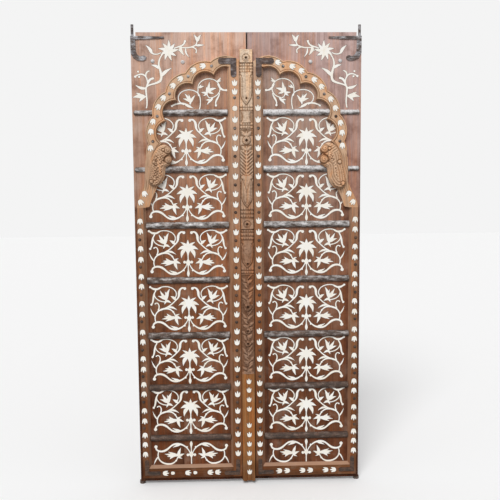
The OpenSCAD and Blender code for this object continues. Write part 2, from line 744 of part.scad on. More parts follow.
module right_board_inner() color(board_color) place() board(1);
module right_board_middle() color(board_color) place() board(2);
module right_board_outer() color(board_color) place() board(3);
module right_ledge_low() color(board_color) place() ledge(ledge_inset);
module right_ledge_middle() color(board_color) place() ledge(leaf_height / 2);
module right_ledge_top() color(board_color) place() ledge(leaf_height - ledge_inset);
module right_outer_stile() color(frame_color) place() outer_stile(right);
module right_inner_stile() color(frame_color) place() inner_stile(right);
module right_bottom_rail() color(frame_color) place() bottom_rail(right);
module right_arch() color(carved_color) place() arch(right);
module right_bracket() color(carved_color) place() bracket(right);
module right_bar_1() color(iron_color) place() bar(right, 1);
module right_bar_2() color(iron_color) place() bar(right, 2);
module right_bar_3() color(iron_color) place() bar(right, 3);
module right_bar_4() color(iron_color) place() bar(right, 4);
module right_bar_5() color(iron_color) place() bar(right, 5);
module right_bar_6() color(iron_color) place() bar(right, 6);
module right_bar_7() color(iron_color) place() bar(right, 7);
module right_crown_plate() color(iron_color) place() crown_plate(right);
module right_corner_plate_outer() color(iron_color) place() corner_plate_outer();
module right_corner_plate_inner() color(iron_color) place() corner_plate_inner(right);
module right_top_strap() color(iron_color) place() top_strap();
module right_foot_pivot() color(iron_color) place() foot_pivot();
module right_studs() color(iron_color) place() studs(right);
module right_panel_inlay() color(bone_color) place() panel_inlay(right);
module right_frame_buds() color(bone_color) place() frame_buds(right);
module right_spandrel_inlay() color(bone_color) place() spandrel_inlay(right);

module cover_strip() color(carved_color) place() cover_strip_shape();
module strip_splice() color(carved_color) place() strip_splice_shape();
module splice_buds() color(bone_color) place() splice_buds_shape();
module left_socket() color(iron_color) place() on_side(left) socket();
module right_socket() color(iron_color) place() socket();

left_board_inner();
left_board_middle();
left_board_outer();
left_ledge_low();
left_ledge_middle();
left_ledge_top();
left_outer_stile();
left_inner_stile();
left_bottom_rail();
left_arch();
left_bracket();
left_bar_1();
left_bar_2();
left_bar_3();
left_bar_4();
left_bar_5();
left_bar_6();
left_bar_7();
left_crown_plate();
left_corner_plate_outer();
left_corner_plate_inner();
left_top_strap();
left_foot_pivot();
left_studs();
left_panel_inlay();
left_frame_buds();
left_spandrel_inlay();
right_board_inner();
right_board_middle();
right_board_outer();
right_ledge_low();
right_ledge_middle();
right_ledge_top();
right_outer_stile();
right_inner_stile();
right_bottom_rail();
right_arch();
right_bracket();
right_bar_1();
right_bar_2();
right_bar_3();
right_bar_4();
right_bar_5();
right_bar_6();
right_bar_7();
right_crown_plate();
right_corner_plate_outer();
right_corner_plate_inner();
right_top_strap();
right_foot_pivot();
right_studs();
right_panel_inlay();
right_frame_buds();
right_spandrel_inlay();
cover_strip();
strip_splice();
splice_buds();
left_socket();
right_socket();
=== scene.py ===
"""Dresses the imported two-leaf carved door: aged wood, worn iron, bone inlay and fine carving."""

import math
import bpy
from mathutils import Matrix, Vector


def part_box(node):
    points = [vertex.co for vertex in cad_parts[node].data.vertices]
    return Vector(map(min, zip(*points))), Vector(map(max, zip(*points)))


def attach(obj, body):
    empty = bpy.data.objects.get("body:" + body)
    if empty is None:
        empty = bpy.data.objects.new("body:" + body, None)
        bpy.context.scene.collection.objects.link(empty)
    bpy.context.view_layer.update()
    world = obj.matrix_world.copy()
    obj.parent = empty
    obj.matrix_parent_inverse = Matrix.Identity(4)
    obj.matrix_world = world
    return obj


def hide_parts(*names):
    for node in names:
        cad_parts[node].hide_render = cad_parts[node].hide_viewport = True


bl_info = {
    "name": "Carved plank door",
    "version": (1, 0, 0),
    "blender": (4, 5, 0),
    "location": "View3D > Sidebar > Door",
    "description": "Builds the carving, inlay and ironwork of a two-leaf plank door around its solids",
    "category": "Object",
}

import bpy
import numpy as np
from mathutils import Matrix, Vector, noise

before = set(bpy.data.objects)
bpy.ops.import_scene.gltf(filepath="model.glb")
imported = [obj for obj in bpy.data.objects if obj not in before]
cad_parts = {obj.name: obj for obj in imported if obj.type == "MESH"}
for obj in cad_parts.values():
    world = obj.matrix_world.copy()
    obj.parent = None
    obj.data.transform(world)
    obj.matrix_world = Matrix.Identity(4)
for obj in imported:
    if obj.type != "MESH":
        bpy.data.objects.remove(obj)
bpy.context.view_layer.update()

# Places read from the solids, in millimetres: x from the middle, z above the foot of the leaves,
# and "out" in front of the boards.
FOOT_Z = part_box("left_board_inner")[0][2] * 1000
FACE_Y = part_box("left_board_inner")[0][1] * 1000
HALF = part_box("right_board_outer")[1][0] * 1000
LEAF_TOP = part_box("left_board_inner")[1][2] * 1000 - FOOT_Z
FRAME_OUT = FACE_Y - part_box("left_inner_stile")[0][1] * 1000
OUTER_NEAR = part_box("right_outer_stile")[0][0] * 1000
OUTER_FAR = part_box("right_outer_stile")[1][0] * 1000
INNER_NEAR = {"left": -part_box("left_inner_stile")[1][0] * 1000, "right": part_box("right_inner_stile")[0][0] * 1000}
INNER_FAR = {"left": -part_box("left_inner_stile")[0][0] * 1000, "right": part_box("right_inner_stile")[1][0] * 1000}
CROWN_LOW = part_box("left_inner_stile")[1][2] * 1000 - FOOT_Z
FOOT_END = {side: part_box(side + "_arch")[0][2] * 1000 - FOOT_Z for side in ("left", "right")}
BRACKET_OUT = FACE_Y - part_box("left_bracket")[0][1] * 1000
STRIP_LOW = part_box("cover_strip")[0]
STRIP_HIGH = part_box("cover_strip")[1]
BAR_RADIUS = (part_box("left_bar_3")[1][2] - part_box("left_bar_3")[0][2]) * 500
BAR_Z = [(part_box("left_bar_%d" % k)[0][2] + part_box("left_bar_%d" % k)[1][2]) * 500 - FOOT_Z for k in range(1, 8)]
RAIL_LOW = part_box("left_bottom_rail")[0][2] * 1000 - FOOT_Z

SIDES = ("left", "right")
DRAWN_PANEL = 364.0
DRAWN_PITCH = 245.4
PITCH = (BAR_Z[0] - BAR_Z[3]) / 3 / DRAWN_PITCH


class Arch:
    """The ring of lobes of one leaf, with the place and size of the bird below it."""

    middle, band, share, edges = 71.0, 47.0, 0.1865, {"left": 54.0, "right": 60.0}
    angles = [4.4 + 19.0 * k for k in range(6)]
    bird_reach, bird_drawn = 44.0, 190.0
    shows = 18.0

    def __init__(self, side):
        self.ring = (HALF - self.edges[side] - self.middle - self.band) / (1 + self.share)
        self.inner = self.ring * self.share
        self.outer = self.inner + self.band
        self.z = CROWN_LOW - 1 - self.inner - self.ring * math.cos(math.radians(self.angles[0]))
        self.lobes = [self.at(self.ring, a) for a in self.angles]
        self.foot_x = self.lobes[5][0] + self.outer
        self.foot_top = self.lobes[5][1]
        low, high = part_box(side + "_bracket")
        self.bird_scale = (high[2] - low[2]) * 1000 / self.bird_drawn
        near = low[0] * 1000 if side == "right" else -high[0] * 1000
        self.bird = (near + self.bird_reach * self.bird_scale, high[2] * 1000 - FOOT_Z)

    def covers(self, x, z):
        """Tells if a place lies well under the arch or outside it."""
        return math.hypot(x - self.middle, max(z - self.z, 0.0)) > self.ring + self.outer - self.shows

    def at(self, radius, angle):
        """A point at a distance from the arch's centre and an angle from the vertical."""
        a = math.radians(angle)
        return (self.middle + radius * math.sin(a), self.z + radius * math.cos(a))


ARCHES = {side: Arch(side) for side in SIDES}


def tone(r, g, b):
    """A colour given in screen values from 0 to 255, as the linear colour that sockets take."""
    def linear(v):
        v /= 255.0
        return v / 12.92 if v <= 0.04045 else ((v + 0.055) / 1.055) ** 2.4
    return (linear(r), linear(g), linear(b), 1.0)


def place(side, x, out, z):
    """A point of the right leaf in metres; the left leaf is its mirror image."""
    return ((-x if side == "left" else x) / 1000, (FACE_Y - out) / 1000, (z + FOOT_Z) / 1000)


def rough(x, y, z, size):
    """Even, repeatable unevenness from -1 to 1 at a given size in millimetres."""
    return noise.noise(Vector((x / size, y / size, z / size)))


class DoorSizes(bpy.types.PropertyGroup):
    """Sizes of the carving and the inlay."""

    inlay_out: bpy.props.FloatProperty(
        name="Inlay height", description="How far the bone stands out from the wood, in millimetres",
        default=1.0, min=0.2, max=2.0,
    )
    curve_steps: bpy.props.IntProperty(
        name="Curve steps", description="Steps in each curve of the scrolls", default=10, min=3, max=24,
    )
    carving_step: bpy.props.FloatProperty(
        name="Carving step", description="Spacing of the points of carved faces, in millimetres",
        default=1.6, min=0.8, max=6.0,
    )
    hammer_depth: bpy.props.FloatProperty(
        name="Hammer marks", description="Depth of the hammer marks on the bars, in millimetres",
        default=1.1, min=0.0, max=3.0,
    )
    edge_wear: bpy.props.FloatProperty(
        name="Rounded edges", description="Rounding of worn wooden edges", default=0.0014, min=0.0, max=0.005,
        subtype="DISTANCE", unit="LENGTH",
    )


def colour_field(name, description, *screen):
    """A colour of the sidebar; its default is given in screen values."""
    return bpy.props.FloatVectorProperty(
        name=name, description=description, subtype="COLOR", size=4, min=0.0, max=1.0, default=tone(*screen),
    )


class DoorColours(bpy.types.PropertyGroup):
    """Colours of the woods, the iron and the bone."""

    # The low, middle and high colours grade up the door; the lighter high colours stand partly for faded wood and
    # partly for painted light from above.
    board_low: colour_field("Boards, low", "Colour of the boards at the foot", 116, 74, 50)
    board_middle: colour_field("Boards, middle", "Colour of the boards half way up", 156, 110, 82)
    board_high: colour_field("Boards, high", "Colour of the faded boards at the top", 194, 158, 138)
    frame_low: colour_field("Frame, low", "Colour of stiles and rail at the foot", 128, 86, 57)
    frame_middle: colour_field("Frame, middle", "Colour of the stiles half way up", 164, 122, 92)
    frame_high: colour_field("Frame, high", "Colour of the faded stiles at the top", 220, 186, 160)
    carved_low: colour_field("Carving, low", "Colour of the carved wood at the foot", 164, 132, 110)
    carved_middle: colour_field("Carving, middle", "Colour of the carved wood half way up", 162, 124, 98)
    carved_high: colour_field("Carving, high", "Colour of the carved wood at the top", 246, 224, 198)
    arch_middle: colour_field("Arch, foot", "Colour of the birds and the feet of the arches", 198, 162, 132)
    arch_high: colour_field("Arch, crown", "Colour of the crowns of the arches", 238, 202, 168)
    splice: colour_field("Splice", "Colour of the newer wood at the foot of the strip", 174, 124, 78)
    iron_dark: colour_field("Iron, dark", "Colour of the iron in its hollows", 56, 47, 41)
    # The worn iron colour also paints the highlight along the tops of the bars.
    iron_bright: colour_field("Iron, worn", "Colour of the iron where hands have worn it", 208, 206, 206)
    strap_dark: colour_field("Straps, dark", "Colour of the straps and plates in their hollows", 74, 70, 78)
    strap_bright: colour_field("Straps, worn", "Colour of the straps and plates on their worn edges", 214, 216, 222)
    bone: colour_field("Bone", "Colour of the bone inlay", 252, 250, 244)
    backdrop: colour_field("Floor", "Colour of the backdrop behind the floor", 244, 244, 244)


# Shader node groups and materials


def add_node(tree, kind, **values):
    """Adds a shader node and sets its fields and its unlinked inputs."""
    node = tree.nodes.new(kind)
    for key, value in values.items():
        if hasattr(node, key):
            setattr(node, key, value)
        else:
            node.inputs[key].default_value = value
    return node


def feed(tree, socket, value):
    """Links a socket to another one, or gives it a plain value."""
    if isinstance(value, bpy.types.NodeSocket):
        tree.links.new(value, socket)
    else:
        socket.default_value = value


def group_sockets(tree, inputs, outputs):
    """Makes the sockets of a node group; returns those to read inside it and those to fill."""
    for name, kind, default in inputs:
        socket = tree.interface.new_socket(name, in_out="INPUT", socket_type=kind)
        if default is not None:
            socket.default_value = default
    for name, kind in outputs:
        tree.interface.new_socket(name, in_out="OUTPUT", socket_type=kind)
    return tree.nodes.new("NodeGroupInput").outputs, tree.nodes.new("NodeGroupOutput").inputs


def use_group(tree, name, make, values):
    """Puts a node group into a material, sets its inputs and returns its outputs."""
    node = tree.nodes.new("ShaderNodeGroup")
    node.node_tree = bpy.data.node_groups.get(name) or make()
    for key, value in values.items():
        feed(tree, node.inputs[key], value)
    return node.outputs


def math_node(tree, operation, a, b=None, clamp=False):
    """A math node; each operand is a socket or a number."""
    node = add_node(tree, "ShaderNodeMath", operation=operation, use_clamp=clamp)
    feed(tree, node.inputs[0], a)
    if b is not None:
        feed(tree, node.inputs[1], b)
    return node.outputs[0]


def product(tree, a, b):
    """One value times another."""
    return math_node(tree, "MULTIPLY", a, b)


def scaled(tree, value, factor, offset):
    """A value times a factor plus an offset, which is a socket or a number."""
    result = math_node(tree, "MULTIPLY_ADD", value, factor)
    feed(tree, result.node.inputs[2], offset)
    return result


def vector_node(tree, operation, a, b):
    """A vector math node; each operand is a socket or a vector."""
    node = add_node(tree, "ShaderNodeVectorMath", operation=operation)
    feed(tree, node.inputs[0], a)
    feed(tree, node.inputs[1], b)
    return node.outputs[0]


def mix_colour(tree, factor, a, b, blend="MIX"):
    """Mixes two colours; each is a socket or a colour, and the factor a socket or a number."""
    node = add_node(tree, "ShaderNodeMix", data_type="RGBA", blend_type=blend)
    for socket, value in ((node.inputs[0], factor), (node.inputs[6], a), (node.inputs[7], b)):
        feed(tree, socket, value)
    return node.outputs[2]


def tinted(tree, mask, colour, tint):
    """A colour that is multiplied by a tint where the mask says so."""
    return mix_colour(tree, mask, colour, mix_colour(tree, 1.0, colour, (*tint, 1), "MULTIPLY"))


def spread(tree, value, low, high):
    """Stretches a value so that low becomes 0 and high becomes 1."""
    node = add_node(tree, "ShaderNodeMapRange", clamp=True)
    for socket, number in zip(node.inputs, (value, low, high)):
        feed(tree, socket, number)
    return node.outputs[0]


def noise_at(tree, coordinates, **values):
    """A noise texture over the given coordinates."""
    node = add_node(tree, "ShaderNodeTexNoise", **values)
    tree.links.new(coordinates, node.inputs["Vector"])
    return node.outputs[0]


def coordinates_of(tree, kind="Object"):
    """The coordinates on a piece, whole and in their three parts."""
    where = tree.nodes.new("ShaderNodeTexCoord").outputs[kind]
    parts = tree.nodes.new("ShaderNodeSeparateXYZ")
    tree.links.new(where, parts.inputs[0])
    return where, parts.outputs


def marked(tree, name):
    """The value that a piece's maker left on its points."""
    return add_node(tree, "ShaderNodeAttribute", attribute_name=name).outputs["Fac"]


def seen_directly(tree):
    """1 for rays that show a surface to the eye, also in a reflection or through glass, and 0 for its light."""
    path = tree.nodes.new("ShaderNodeLightPath").outputs
    seen = math_node(tree, "MAXIMUM", path["Is Camera Ray"], path["Is Glossy Ray"])
    return math_node(tree, "MAXIMUM", seen, path["Is Transmission Ray"])


def aged_wood_group():
    """Grain, stains and fading of old wood, lighter toward the top of the door: partly faded wood, partly painted
    light from above.
    """
    tree = bpy.data.node_groups.new("aged_wood", "ShaderNodeTree")
    source, result = group_sockets(
        tree,
        [
            ("Low colour", "NodeSocketColor", None), ("Middle colour", "NodeSocketColor", None),
            ("High colour", "NodeSocketColor", None), ("Stretch", "NodeSocketVector", (90.0, 60.0, 3.0)),
            ("Grain strength", "NodeSocketFloat", 0.45), ("Stain strength", "NodeSocketFloat", 0.35),
        ],
        [("Colour", "NodeSocketColor"), ("Roughness", "NodeSocketFloat"), ("Height", "NodeSocketFloat")],
    )
    where, parts = coordinates_of(tree)
    piece = tree.nodes.new("ShaderNodeObjectInfo").outputs["Random"]
    moved = vector_node(tree, "ADD", where, vector_node(tree, "MULTIPLY", (3.1, 1.7, 5.3), piece))
    stretched = vector_node(tree, "MULTIPLY", moved, source["Stretch"])
    grain = noise_at(tree, stretched, Scale=1.0, Detail=5.0, Roughness=0.62, Distortion=0.6)
    pores = noise_at(tree, stretched, Scale=4.5, Detail=3.0, Roughness=0.7)
    stains = noise_at(tree, moved, Scale=11.0, Detail=5.0, Roughness=0.64)
    cloud = noise_at(tree, moved, Scale=2.2, Detail=2.0)
    glow = noise_at(tree, stretched, Scale=0.45, Detail=3.0, Roughness=0.6, Distortion=0.8)
    # from the foot to the top, lighter upward: partly faded wood, partly painted light from above
    height = math_node(tree, "ADD", parts["Z"], scaled(tree, cloud, 0.3, -0.15))
    upper = spread(tree, height, 1.1, 2.05)
    base = mix_colour(tree, spread(tree, height, 0.45, 1.15), source["Low colour"], source["Middle colour"])
    base = mix_colour(tree, upper, base, source["High colour"])
    # warm and dark streaks, the grain and its pores
    calm = scaled(tree, upper, -0.35, 1.0)
    strength = product(tree, calm, source["Grain strength"])
    streak = spread(tree, grain, 0.36, 0.66)
    warm = product(tree, spread(tree, glow, 0.47, 0.62), product(tree, calm, 0.8))
    base = tinted(tree, warm, base, (1.22, 0.92, 0.66))
    base = tinted(tree, product(tree, spread(tree, glow, 0.44, 0.30), strength), base, (0.40, 0.30, 0.26))
    base = tinted(tree, product(tree, math_node(tree, "SUBTRACT", 1.0, streak), strength), base, (0.42, 0.33, 0.28))
    base = tinted(tree, product(tree, spread(tree, pores, 0.56, 0.72), 0.5), base, (0.32, 0.25, 0.2))
    # dark and pale stains, and darker at the very foot
    stain = product(tree, spread(tree, stains, 0.50, 0.68), source["Stain strength"])
    base = tinted(tree, stain, base, (0.45, 0.34, 0.28))
    pale = product(tree, spread(tree, stains, 0.46, 0.25), 0.35)
    base = mix_colour(tree, pale, base, mix_colour(tree, 0.5, base, (0.75, 0.6, 0.48, 1)))
    base = tinted(tree, product(tree, spread(tree, height, 0.09, 0.03), 0.6), base, (0.38, 0.32, 0.3))
    # each piece a little lighter or darker
    tint = tree.nodes.new("ShaderNodeHueSaturation")
    feed(tree, tint.inputs["Color"], base)
    feed(tree, tint.inputs["Value"], scaled(tree, piece, 0.18, 0.91))
    feed(tree, result["Colour"], tint.outputs[0])
    feed(tree, result["Roughness"], scaled(tree, grain, -0.3, 0.78))
    feed(tree, result["Height"], scaled(tree, pores, -0.5, streak))
    return tree


def worn_iron_group():
    """Dark forged iron with rust in the hollows and bright wear where the piece says so; on the bars that wear also
    holds a painted highlight on top and painted shade below.
    """
    tree = bpy.data.node_groups.new("worn_iron", "ShaderNodeTree")
    source, result = group_sockets(
        tree,
        [
            ("Dark colour", "NodeSocketColor", None), ("Bright colour", "NodeSocketColor", None),
            ("Wear", "NodeSocketFloat", 0.0),
        ],
        [
            ("Colour", "NodeSocketColor"), ("Metal", "NodeSocketFloat"), ("Roughness", "NodeSocketFloat"),
            ("Height", "NodeSocketFloat"),
        ],
    )
    wear = source["Wear"]
    where = tree.nodes.new("ShaderNodeTexCoord").outputs["Object"]
    along = vector_node(tree, "MULTIPLY", where, (0.42, 1.0, 1.15))
    marks = noise_at(tree, along, Scale=62.0, Detail=4.0, Roughness=0.62)
    pits = noise_at(tree, where, Scale=150.0, Detail=5.0, Roughness=0.7)
    rust = noise_at(tree, where, Scale=22.0, Detail=5.0, Roughness=0.66)
    bright = spread(tree, scaled(tree, marks, 2.6, wear), 1.45, 2.15)
    bright = product(tree, bright, spread(tree, wear, -0.05, 0.4))
    greyed = product(tree, spread(tree, rust, 0.36, 0.62), spread(tree, wear, -0.1, 0.45))
    base = mix_colour(tree, greyed, source["Dark colour"], tone(118, 107, 98))
    brown = spread(tree, wear, 0.6, 0.0)
    base = mix_colour(tree, product(tree, brown, 0.55), base, tone(108, 78, 60))
    sooty = product(tree, spread(tree, marks, 0.56, 0.42), product(tree, brown, 0.85))
    base = mix_colour(tree, sooty, base, tone(46, 35, 29))
    base = mix_colour(tree, bright, base, source["Bright colour"])
    rusty = product(tree, spread(tree, rust, 0.52, 0.70), 0.6)
    rusty = math_node(tree, "MULTIPLY", rusty, math_node(tree, "SUBTRACT", 1.0, bright), clamp=True)
    base = mix_colour(tree, rusty, base, tone(92, 58, 40))
    base = tinted(tree, spread(tree, pits, 0.5, 0.66), base, (0.36, 0.33, 0.31))
    feed(tree, result["Colour"], base)
    feed(tree, result["Metal"], scaled(tree, bright, 0.14, 0.08))
    feed(tree, result["Roughness"], scaled(tree, bright, -0.1, 0.72))
    feed(tree, result["Height"], scaled(tree, pits, 0.35, marks))
    return tree


def new_material(name):
    """An empty material with its shader, ready for its groups."""
    material = bpy.data.materials.new(name)
    material.use_nodes = True
    shader = material.node_tree.nodes["Principled BSDF"]
    return material, material.node_tree, shader


def bump_from(tree, shader, height, depth, strength):
    """Feeds a height into the shader's normal."""
    node = add_node(tree, "ShaderNodeBump", Strength=strength, Distance=depth)
    feed(tree, node.inputs["Height"], height)
    feed(tree, shader.inputs["Normal"], node.outputs[0])


def outside_mask(tree):
    """1 on the corner of a leaf above and outside its arch, and 0 under the arch."""
    parts = coordinates_of(tree)[1]
    arch, foot = ARCHES["left"], FOOT_END["left"] + FOOT_Z
    aside = scaled(tree, math_node(tree, "ABSOLUTE", parts["X"]), 1.0, -arch.middle / 1000)
    above = math_node(tree, "MAXIMUM", scaled(tree, parts["Z"], 1.0, -(arch.z + FOOT_Z) / 1000), 0.0)
    squares = [product(tree, v, v) for v in (aside, above)]
    reach = math_node(tree, "SQRT", math_node(tree, "ADD", *squares))
    high = spread(tree, parts["Z"], (foot - 10) / 1000, (foot + 10) / 1000)
    return product(tree, spread(tree, reach, (arch.ring + arch.inner) / 1000, arch.ring / 1000 + 0.07), high)


def bevel_mask(tree):
    """1 on the bevels along the panels that face sideways or up, 0 on faces, edges and bevels that face down."""
    parts = coordinates_of(tree, "Normal")[1]
    lean = math_node(tree, "MAXIMUM", math_node(tree, "ABSOLUTE", parts["X"]), parts["Z"])
    return product(tree, spread(tree, lean, 0.6, 0.8), spread(tree, lean, 0.97, 0.92))


def stile_shade_and_dirt_mask(tree):
    """1 along the raised stiles, where dirt gathers and painted shade darkens the panels, 0 in the middle of the
    panels.
    """
    where, parts = coordinates_of(tree)
    dirt_and_shade = noise_at(tree, where, Scale=16.0, Detail=4.0, Roughness=0.65)
    aside = math_node(tree, "ABSOLUTE", parts["X"])
    far = spread(tree, aside, (OUTER_NEAR - 48) / 1000, (OUTER_NEAR - 4) / 1000)
    near = spread(tree, aside, (INNER_FAR["right"] + 40) / 1000, (INNER_FAR["right"] + 4) / 1000)
    return product(tree, math_node(tree, "MAXIMUM", far, near), spread(tree, dirt_and_shade, 0.32, 0.62))


def leaf_gap_shade_mask(tree):
    """1 along the edges where the two leaves meet, where the gap between them is painted in shade."""
    return spread(tree, math_node(tree, "ABSOLUTE", coordinates_of(tree)[1]["X"]), 0.0042, 0.0022)


def wood_material(name, colours, stretch, grain, stain, carved=False, faded=None, bevel=0.0):
    """Aged wood; carved pieces also get painted shade in the hollows that their maker marked."""
    _, tree, shader = new_material(name)
    wood = use_group(tree, "aged_wood", aged_wood_group, {
        "Low colour": colours[0], "Middle colour": colours[1], "High colour": colours[2],
        "Stretch": stretch, "Grain strength": grain, "Stain strength": stain,
    })
    colour = wood["Colour"]
    if faded:
        outside = outside_mask(tree)
        # darker along the stiles: dirt and painted shade where the panels meet the raised stiles
        dirt_and_shade = product(tree, stile_shade_and_dirt_mask(tree), scaled(tree, outside, -0.75, 0.75))
        colour = tinted(tree, dirt_and_shade, colour, (0.42, 0.36, 0.36))
        colour = tinted(tree, outside, colour, faded)
        # painted shade in the gap where the two leaves meet
        colour = mix_colour(tree, leaf_gap_shade_mask(tree), colour, tone(40, 26, 20))
    if bevel:
        # bevels that face up or sideways are lighter: partly rubbed wear, partly painted light from above
        rubbed_and_lit = mix_colour(tree, 0.62, colour, tone(205, 168, 142))
        colour = mix_colour(tree, product(tree, bevel_mask(tree), bevel), colour, rubbed_and_lit)
    if carved:
        # painted shade in the hollows and on the walls of the carving
        colour = tinted(tree, product(tree, marked(tree, "painted_shade"), 0.85), colour, (0.32, 0.24, 0.18))
    feed(tree, shader.inputs["Base Color"], colour)
    feed(tree, shader.inputs["Roughness"], wood["Roughness"])
    shader.inputs["Specular IOR Level"].default_value = 0.12
    bump_from(tree, shader, wood["Height"], 0.0012, 0.55)


def stud_wear(tree):
    """Studs on the bare boards are bright, those on the frame grow darker toward the foot."""
    parts = coordinates_of(tree)[1]
    bare = math_node(tree, "GREATER_THAN", parts["Y"], (FACE_Y - 0.6 * FRAME_OUT) / 1000)
    return scaled(tree, bare, 0.9, scaled(tree, spread(tree, parts["Z"], 1.1, 1.9), 0.5, -0.1))


def bar_wear_and_highlight(tree):
    """Bars carry their wear, with a painted highlight on top and painted shade below, on their points."""
    return marked(tree, "wear")


def iron_material(name, wear, dark, bright):
    """Forged iron; its wear is a number, or a function that makes a socket for it."""
    _, tree, shader = new_material(name)
    iron = use_group(tree, "worn_iron", worn_iron_group, {
        "Dark colour": dark, "Bright colour": bright, "Wear": wear(tree) if callable(wear) else wear,
    })
    for key, output in (("Base Color", "Colour"), ("Metallic", "Metal"), ("Roughness", "Roughness")):
        feed(tree, shader.inputs[key], iron[output])
    bump_from(tree, shader, iron["Height"], 0.0010, 0.6)


def bone_material(bone):
    """Old bone with dirt in its fine pores, each piece a little different, and the dark lac around it."""
    _, tree, shader = new_material("bone_inlay")
    piece = marked(tree, "piece")
    where = tree.nodes.new("ShaderNodeTexCoord").outputs["Object"]
    pores = noise_at(tree, where, Scale=420.0, Detail=3.0, Roughness=0.6)
    stain = noise_at(tree, where, Scale=26.0, Detail=4.0, Roughness=0.6)
    aged = math_node(tree, "MULTIPLY", piece, 0.35, clamp=True)
    base = mix_colour(tree, aged, bone, tone(240, 226, 200))
    base = mix_colour(tree, product(tree, spread(tree, stain, 0.58, 0.8), 0.4), base, tone(226, 202, 168))
    base = mix_colour(tree, product(tree, spread(tree, pores, 0.62, 0.8), 0.35), base, tone(180, 146, 112))
    base = mix_colour(tree, math_node(tree, "LESS_THAN", piece, -0.5), base, tone(46, 27, 18))
    feed(tree, shader.inputs["Base Color"], base)
    feed(tree, shader.inputs["Roughness"], scaled(tree, stain, 0.25, 0.32))
    bump_from(tree, shader, pores, 0.0003, 0.4)


# How the grain is stretched: upright, lying, and finer on the frame
UPRIGHT, LYING = (95.0, 60.0, 2.6), (2.6, 60.0, 95.0)
UPRIGHT_FINE, LYING_FINE = (120.0, 80.0, 4.0), (4.0, 80.0, 120.0)
# The right leaf's boards are greyer than the left leaf's, from the foot to the top
GREYED = ((0.92, 0.96, 1.05, 1), (0.92, 1.0, 1.15, 1), (0.98, 1.16, 1.35, 1))


def finishes():
    """All materials, made once."""
    if bpy.data.materials.get("aged_boards") is None:
        c = bpy.context.scene.door_colours
        boards = (c.board_low, c.board_middle, c.board_high)
        greyed = [tuple(v * f for v, f in zip(colour, fade)) for colour, fade in zip(boards, GREYED)]
        frames = (c.frame_low, c.frame_middle, c.frame_high)
        carved = (c.carved_low, c.carved_middle, c.carved_high)
        wood_material("aged_boards", boards, UPRIGHT, 0.55, 0.7, faded=(1.42, 1.58, 1.75))
        wood_material("greyed_boards", greyed, UPRIGHT, 0.55, 0.7, faded=(1.12, 1.1, 1.2))
        wood_material("aged_ledges", (c.board_low, c.board_middle, c.board_middle), LYING, 0.55, 0.5)
        wood_material("aged_stiles", frames, UPRIGHT_FINE, 0.5, 0.45, bevel=0.35)
        wood_material("aged_rails", frames, LYING_FINE, 0.5, 0.45, bevel=0.8)
        wood_material("aged_carving", carved, (80.0, 60.0, 7.0), 0.35, 0.4, True)
        wood_material("aged_arch", (c.carved_low, c.arch_middle, c.arch_high), (60.0, 60.0, 12.0), 0.35, 0.35, True)
        wood_material("splice_wood", (c.splice, c.splice, c.splice), UPRIGHT_FINE, 0.6, 0.4)
        irons = {"forged_iron": 0.12, "stud_iron": stud_wear, "corner_iron": -0.9, "bar_iron": bar_wear_and_highlight}
        for name, wear in irons.items():
            iron_material(name, wear, c.iron_dark, c.iron_bright)
        for name, wear in (("strap_iron", 0.34), ("plate_iron", 0.14)):
            iron_material(name, wear, c.strap_dark, c.strap_bright)
        bone_material(c.bone)
    return bpy.data.materials


# Mesh helpers


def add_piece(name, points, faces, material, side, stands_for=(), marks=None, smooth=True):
    """Makes one piece from its points and faces, sets its finish and lets it move with its leaf."""
    mesh = bpy.data.meshes.new(name)
    mesh.from_pydata(points, [], faces)
    mesh.validate()
    if smooth:
        mesh.polygons.foreach_set("use_smooth", [True] * len(mesh.polygons))
    for key, values in (marks or {}).items():
        attribute = mesh.attributes.new(key, "FLOAT", "POINT")
        attribute.data.foreach_set("value", values)
    mesh.materials.append(finishes()[material])
    piece = bpy.data.objects.new(name, mesh)
    bpy.context.scene.collection.objects.link(piece)
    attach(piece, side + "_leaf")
    if stands_for:
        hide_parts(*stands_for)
    return piece


def sharpen(piece, angle):
    """Keeps edges sharper than an angle crisp on a smooth piece."""
    piece.data.set_sharp_from_angle(angle=math.radians(angle))


def facing(side, faces):
    """Faces made for the right leaf; on the mirrored left leaf they turn round."""
    return faces if side == "right" else [face[::-1] for face in faces]


def round_edges(node, material, width):
    """Gives a solid its finish and softly rounded edges."""
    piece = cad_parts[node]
    piece.data.materials.clear()
    piece.data.materials.append(finishes()[material])
    if width > 0:
        bevel = piece.modifiers.new("worn edges", "BEVEL")
        bevel.width = width
        bevel.segments = 2
        bevel.limit_method = "ANGLE"
        bevel.angle_limit = math.radians(25)


class Shell:
    """Collects the points and faces of one piece."""

    def __init__(self):
        self.points = []
        self.faces = []
        self.marks = []
        self.count = 0

    def add(self, points, faces, mark=0.0):
        """Adds a part with its own points, all with one mark."""
        start = len(self.points)
        self.points.extend(points)
        self.faces.extend([tuple(start + k for k in face) for face in faces])
        self.marks.extend([mark] * len(points))


# Bone inlay, drawn flat (x across, y up) and then set on the wood


def bend_points(p, steps):
    """Points along a chain of curves with four control points each, sharing their ends."""
    found = []
    for k in range(0, len(p) - 3, 3):
        a, b, c, d = (np.array(q, float) for q in p[k:k + 4])
        for i in range(steps):
            t = i / steps
            found.append((1 - t) ** 3 * a + 3 * t * (1 - t) ** 2 * b + 3 * t * t * (1 - t) * c + t ** 3 * d)
    found.append(np.array(p[-1], float))
    return found


def strip_outline(points, widths):
    """Left and right edges of a strip along points; the widths spread evenly along it."""
    count = len(points)
    edges = []
    for i, point in enumerate(points):
        ahead = points[min(i + 1, count - 1)] - points[max(i - 1, 0)]
        ahead = ahead / max(np.linalg.norm(ahead), 1e-9)
        across = np.array((-ahead[1], ahead[0]))
        f = i / (count - 1) * (len(widths) - 1)
        k = min(int(f), len(widths) - 2)
        w = widths[k] + (widths[k + 1] - widths[k]) * (f - k)
        edges.append((point + across * w / 2, point - across * w / 2))
    return edges


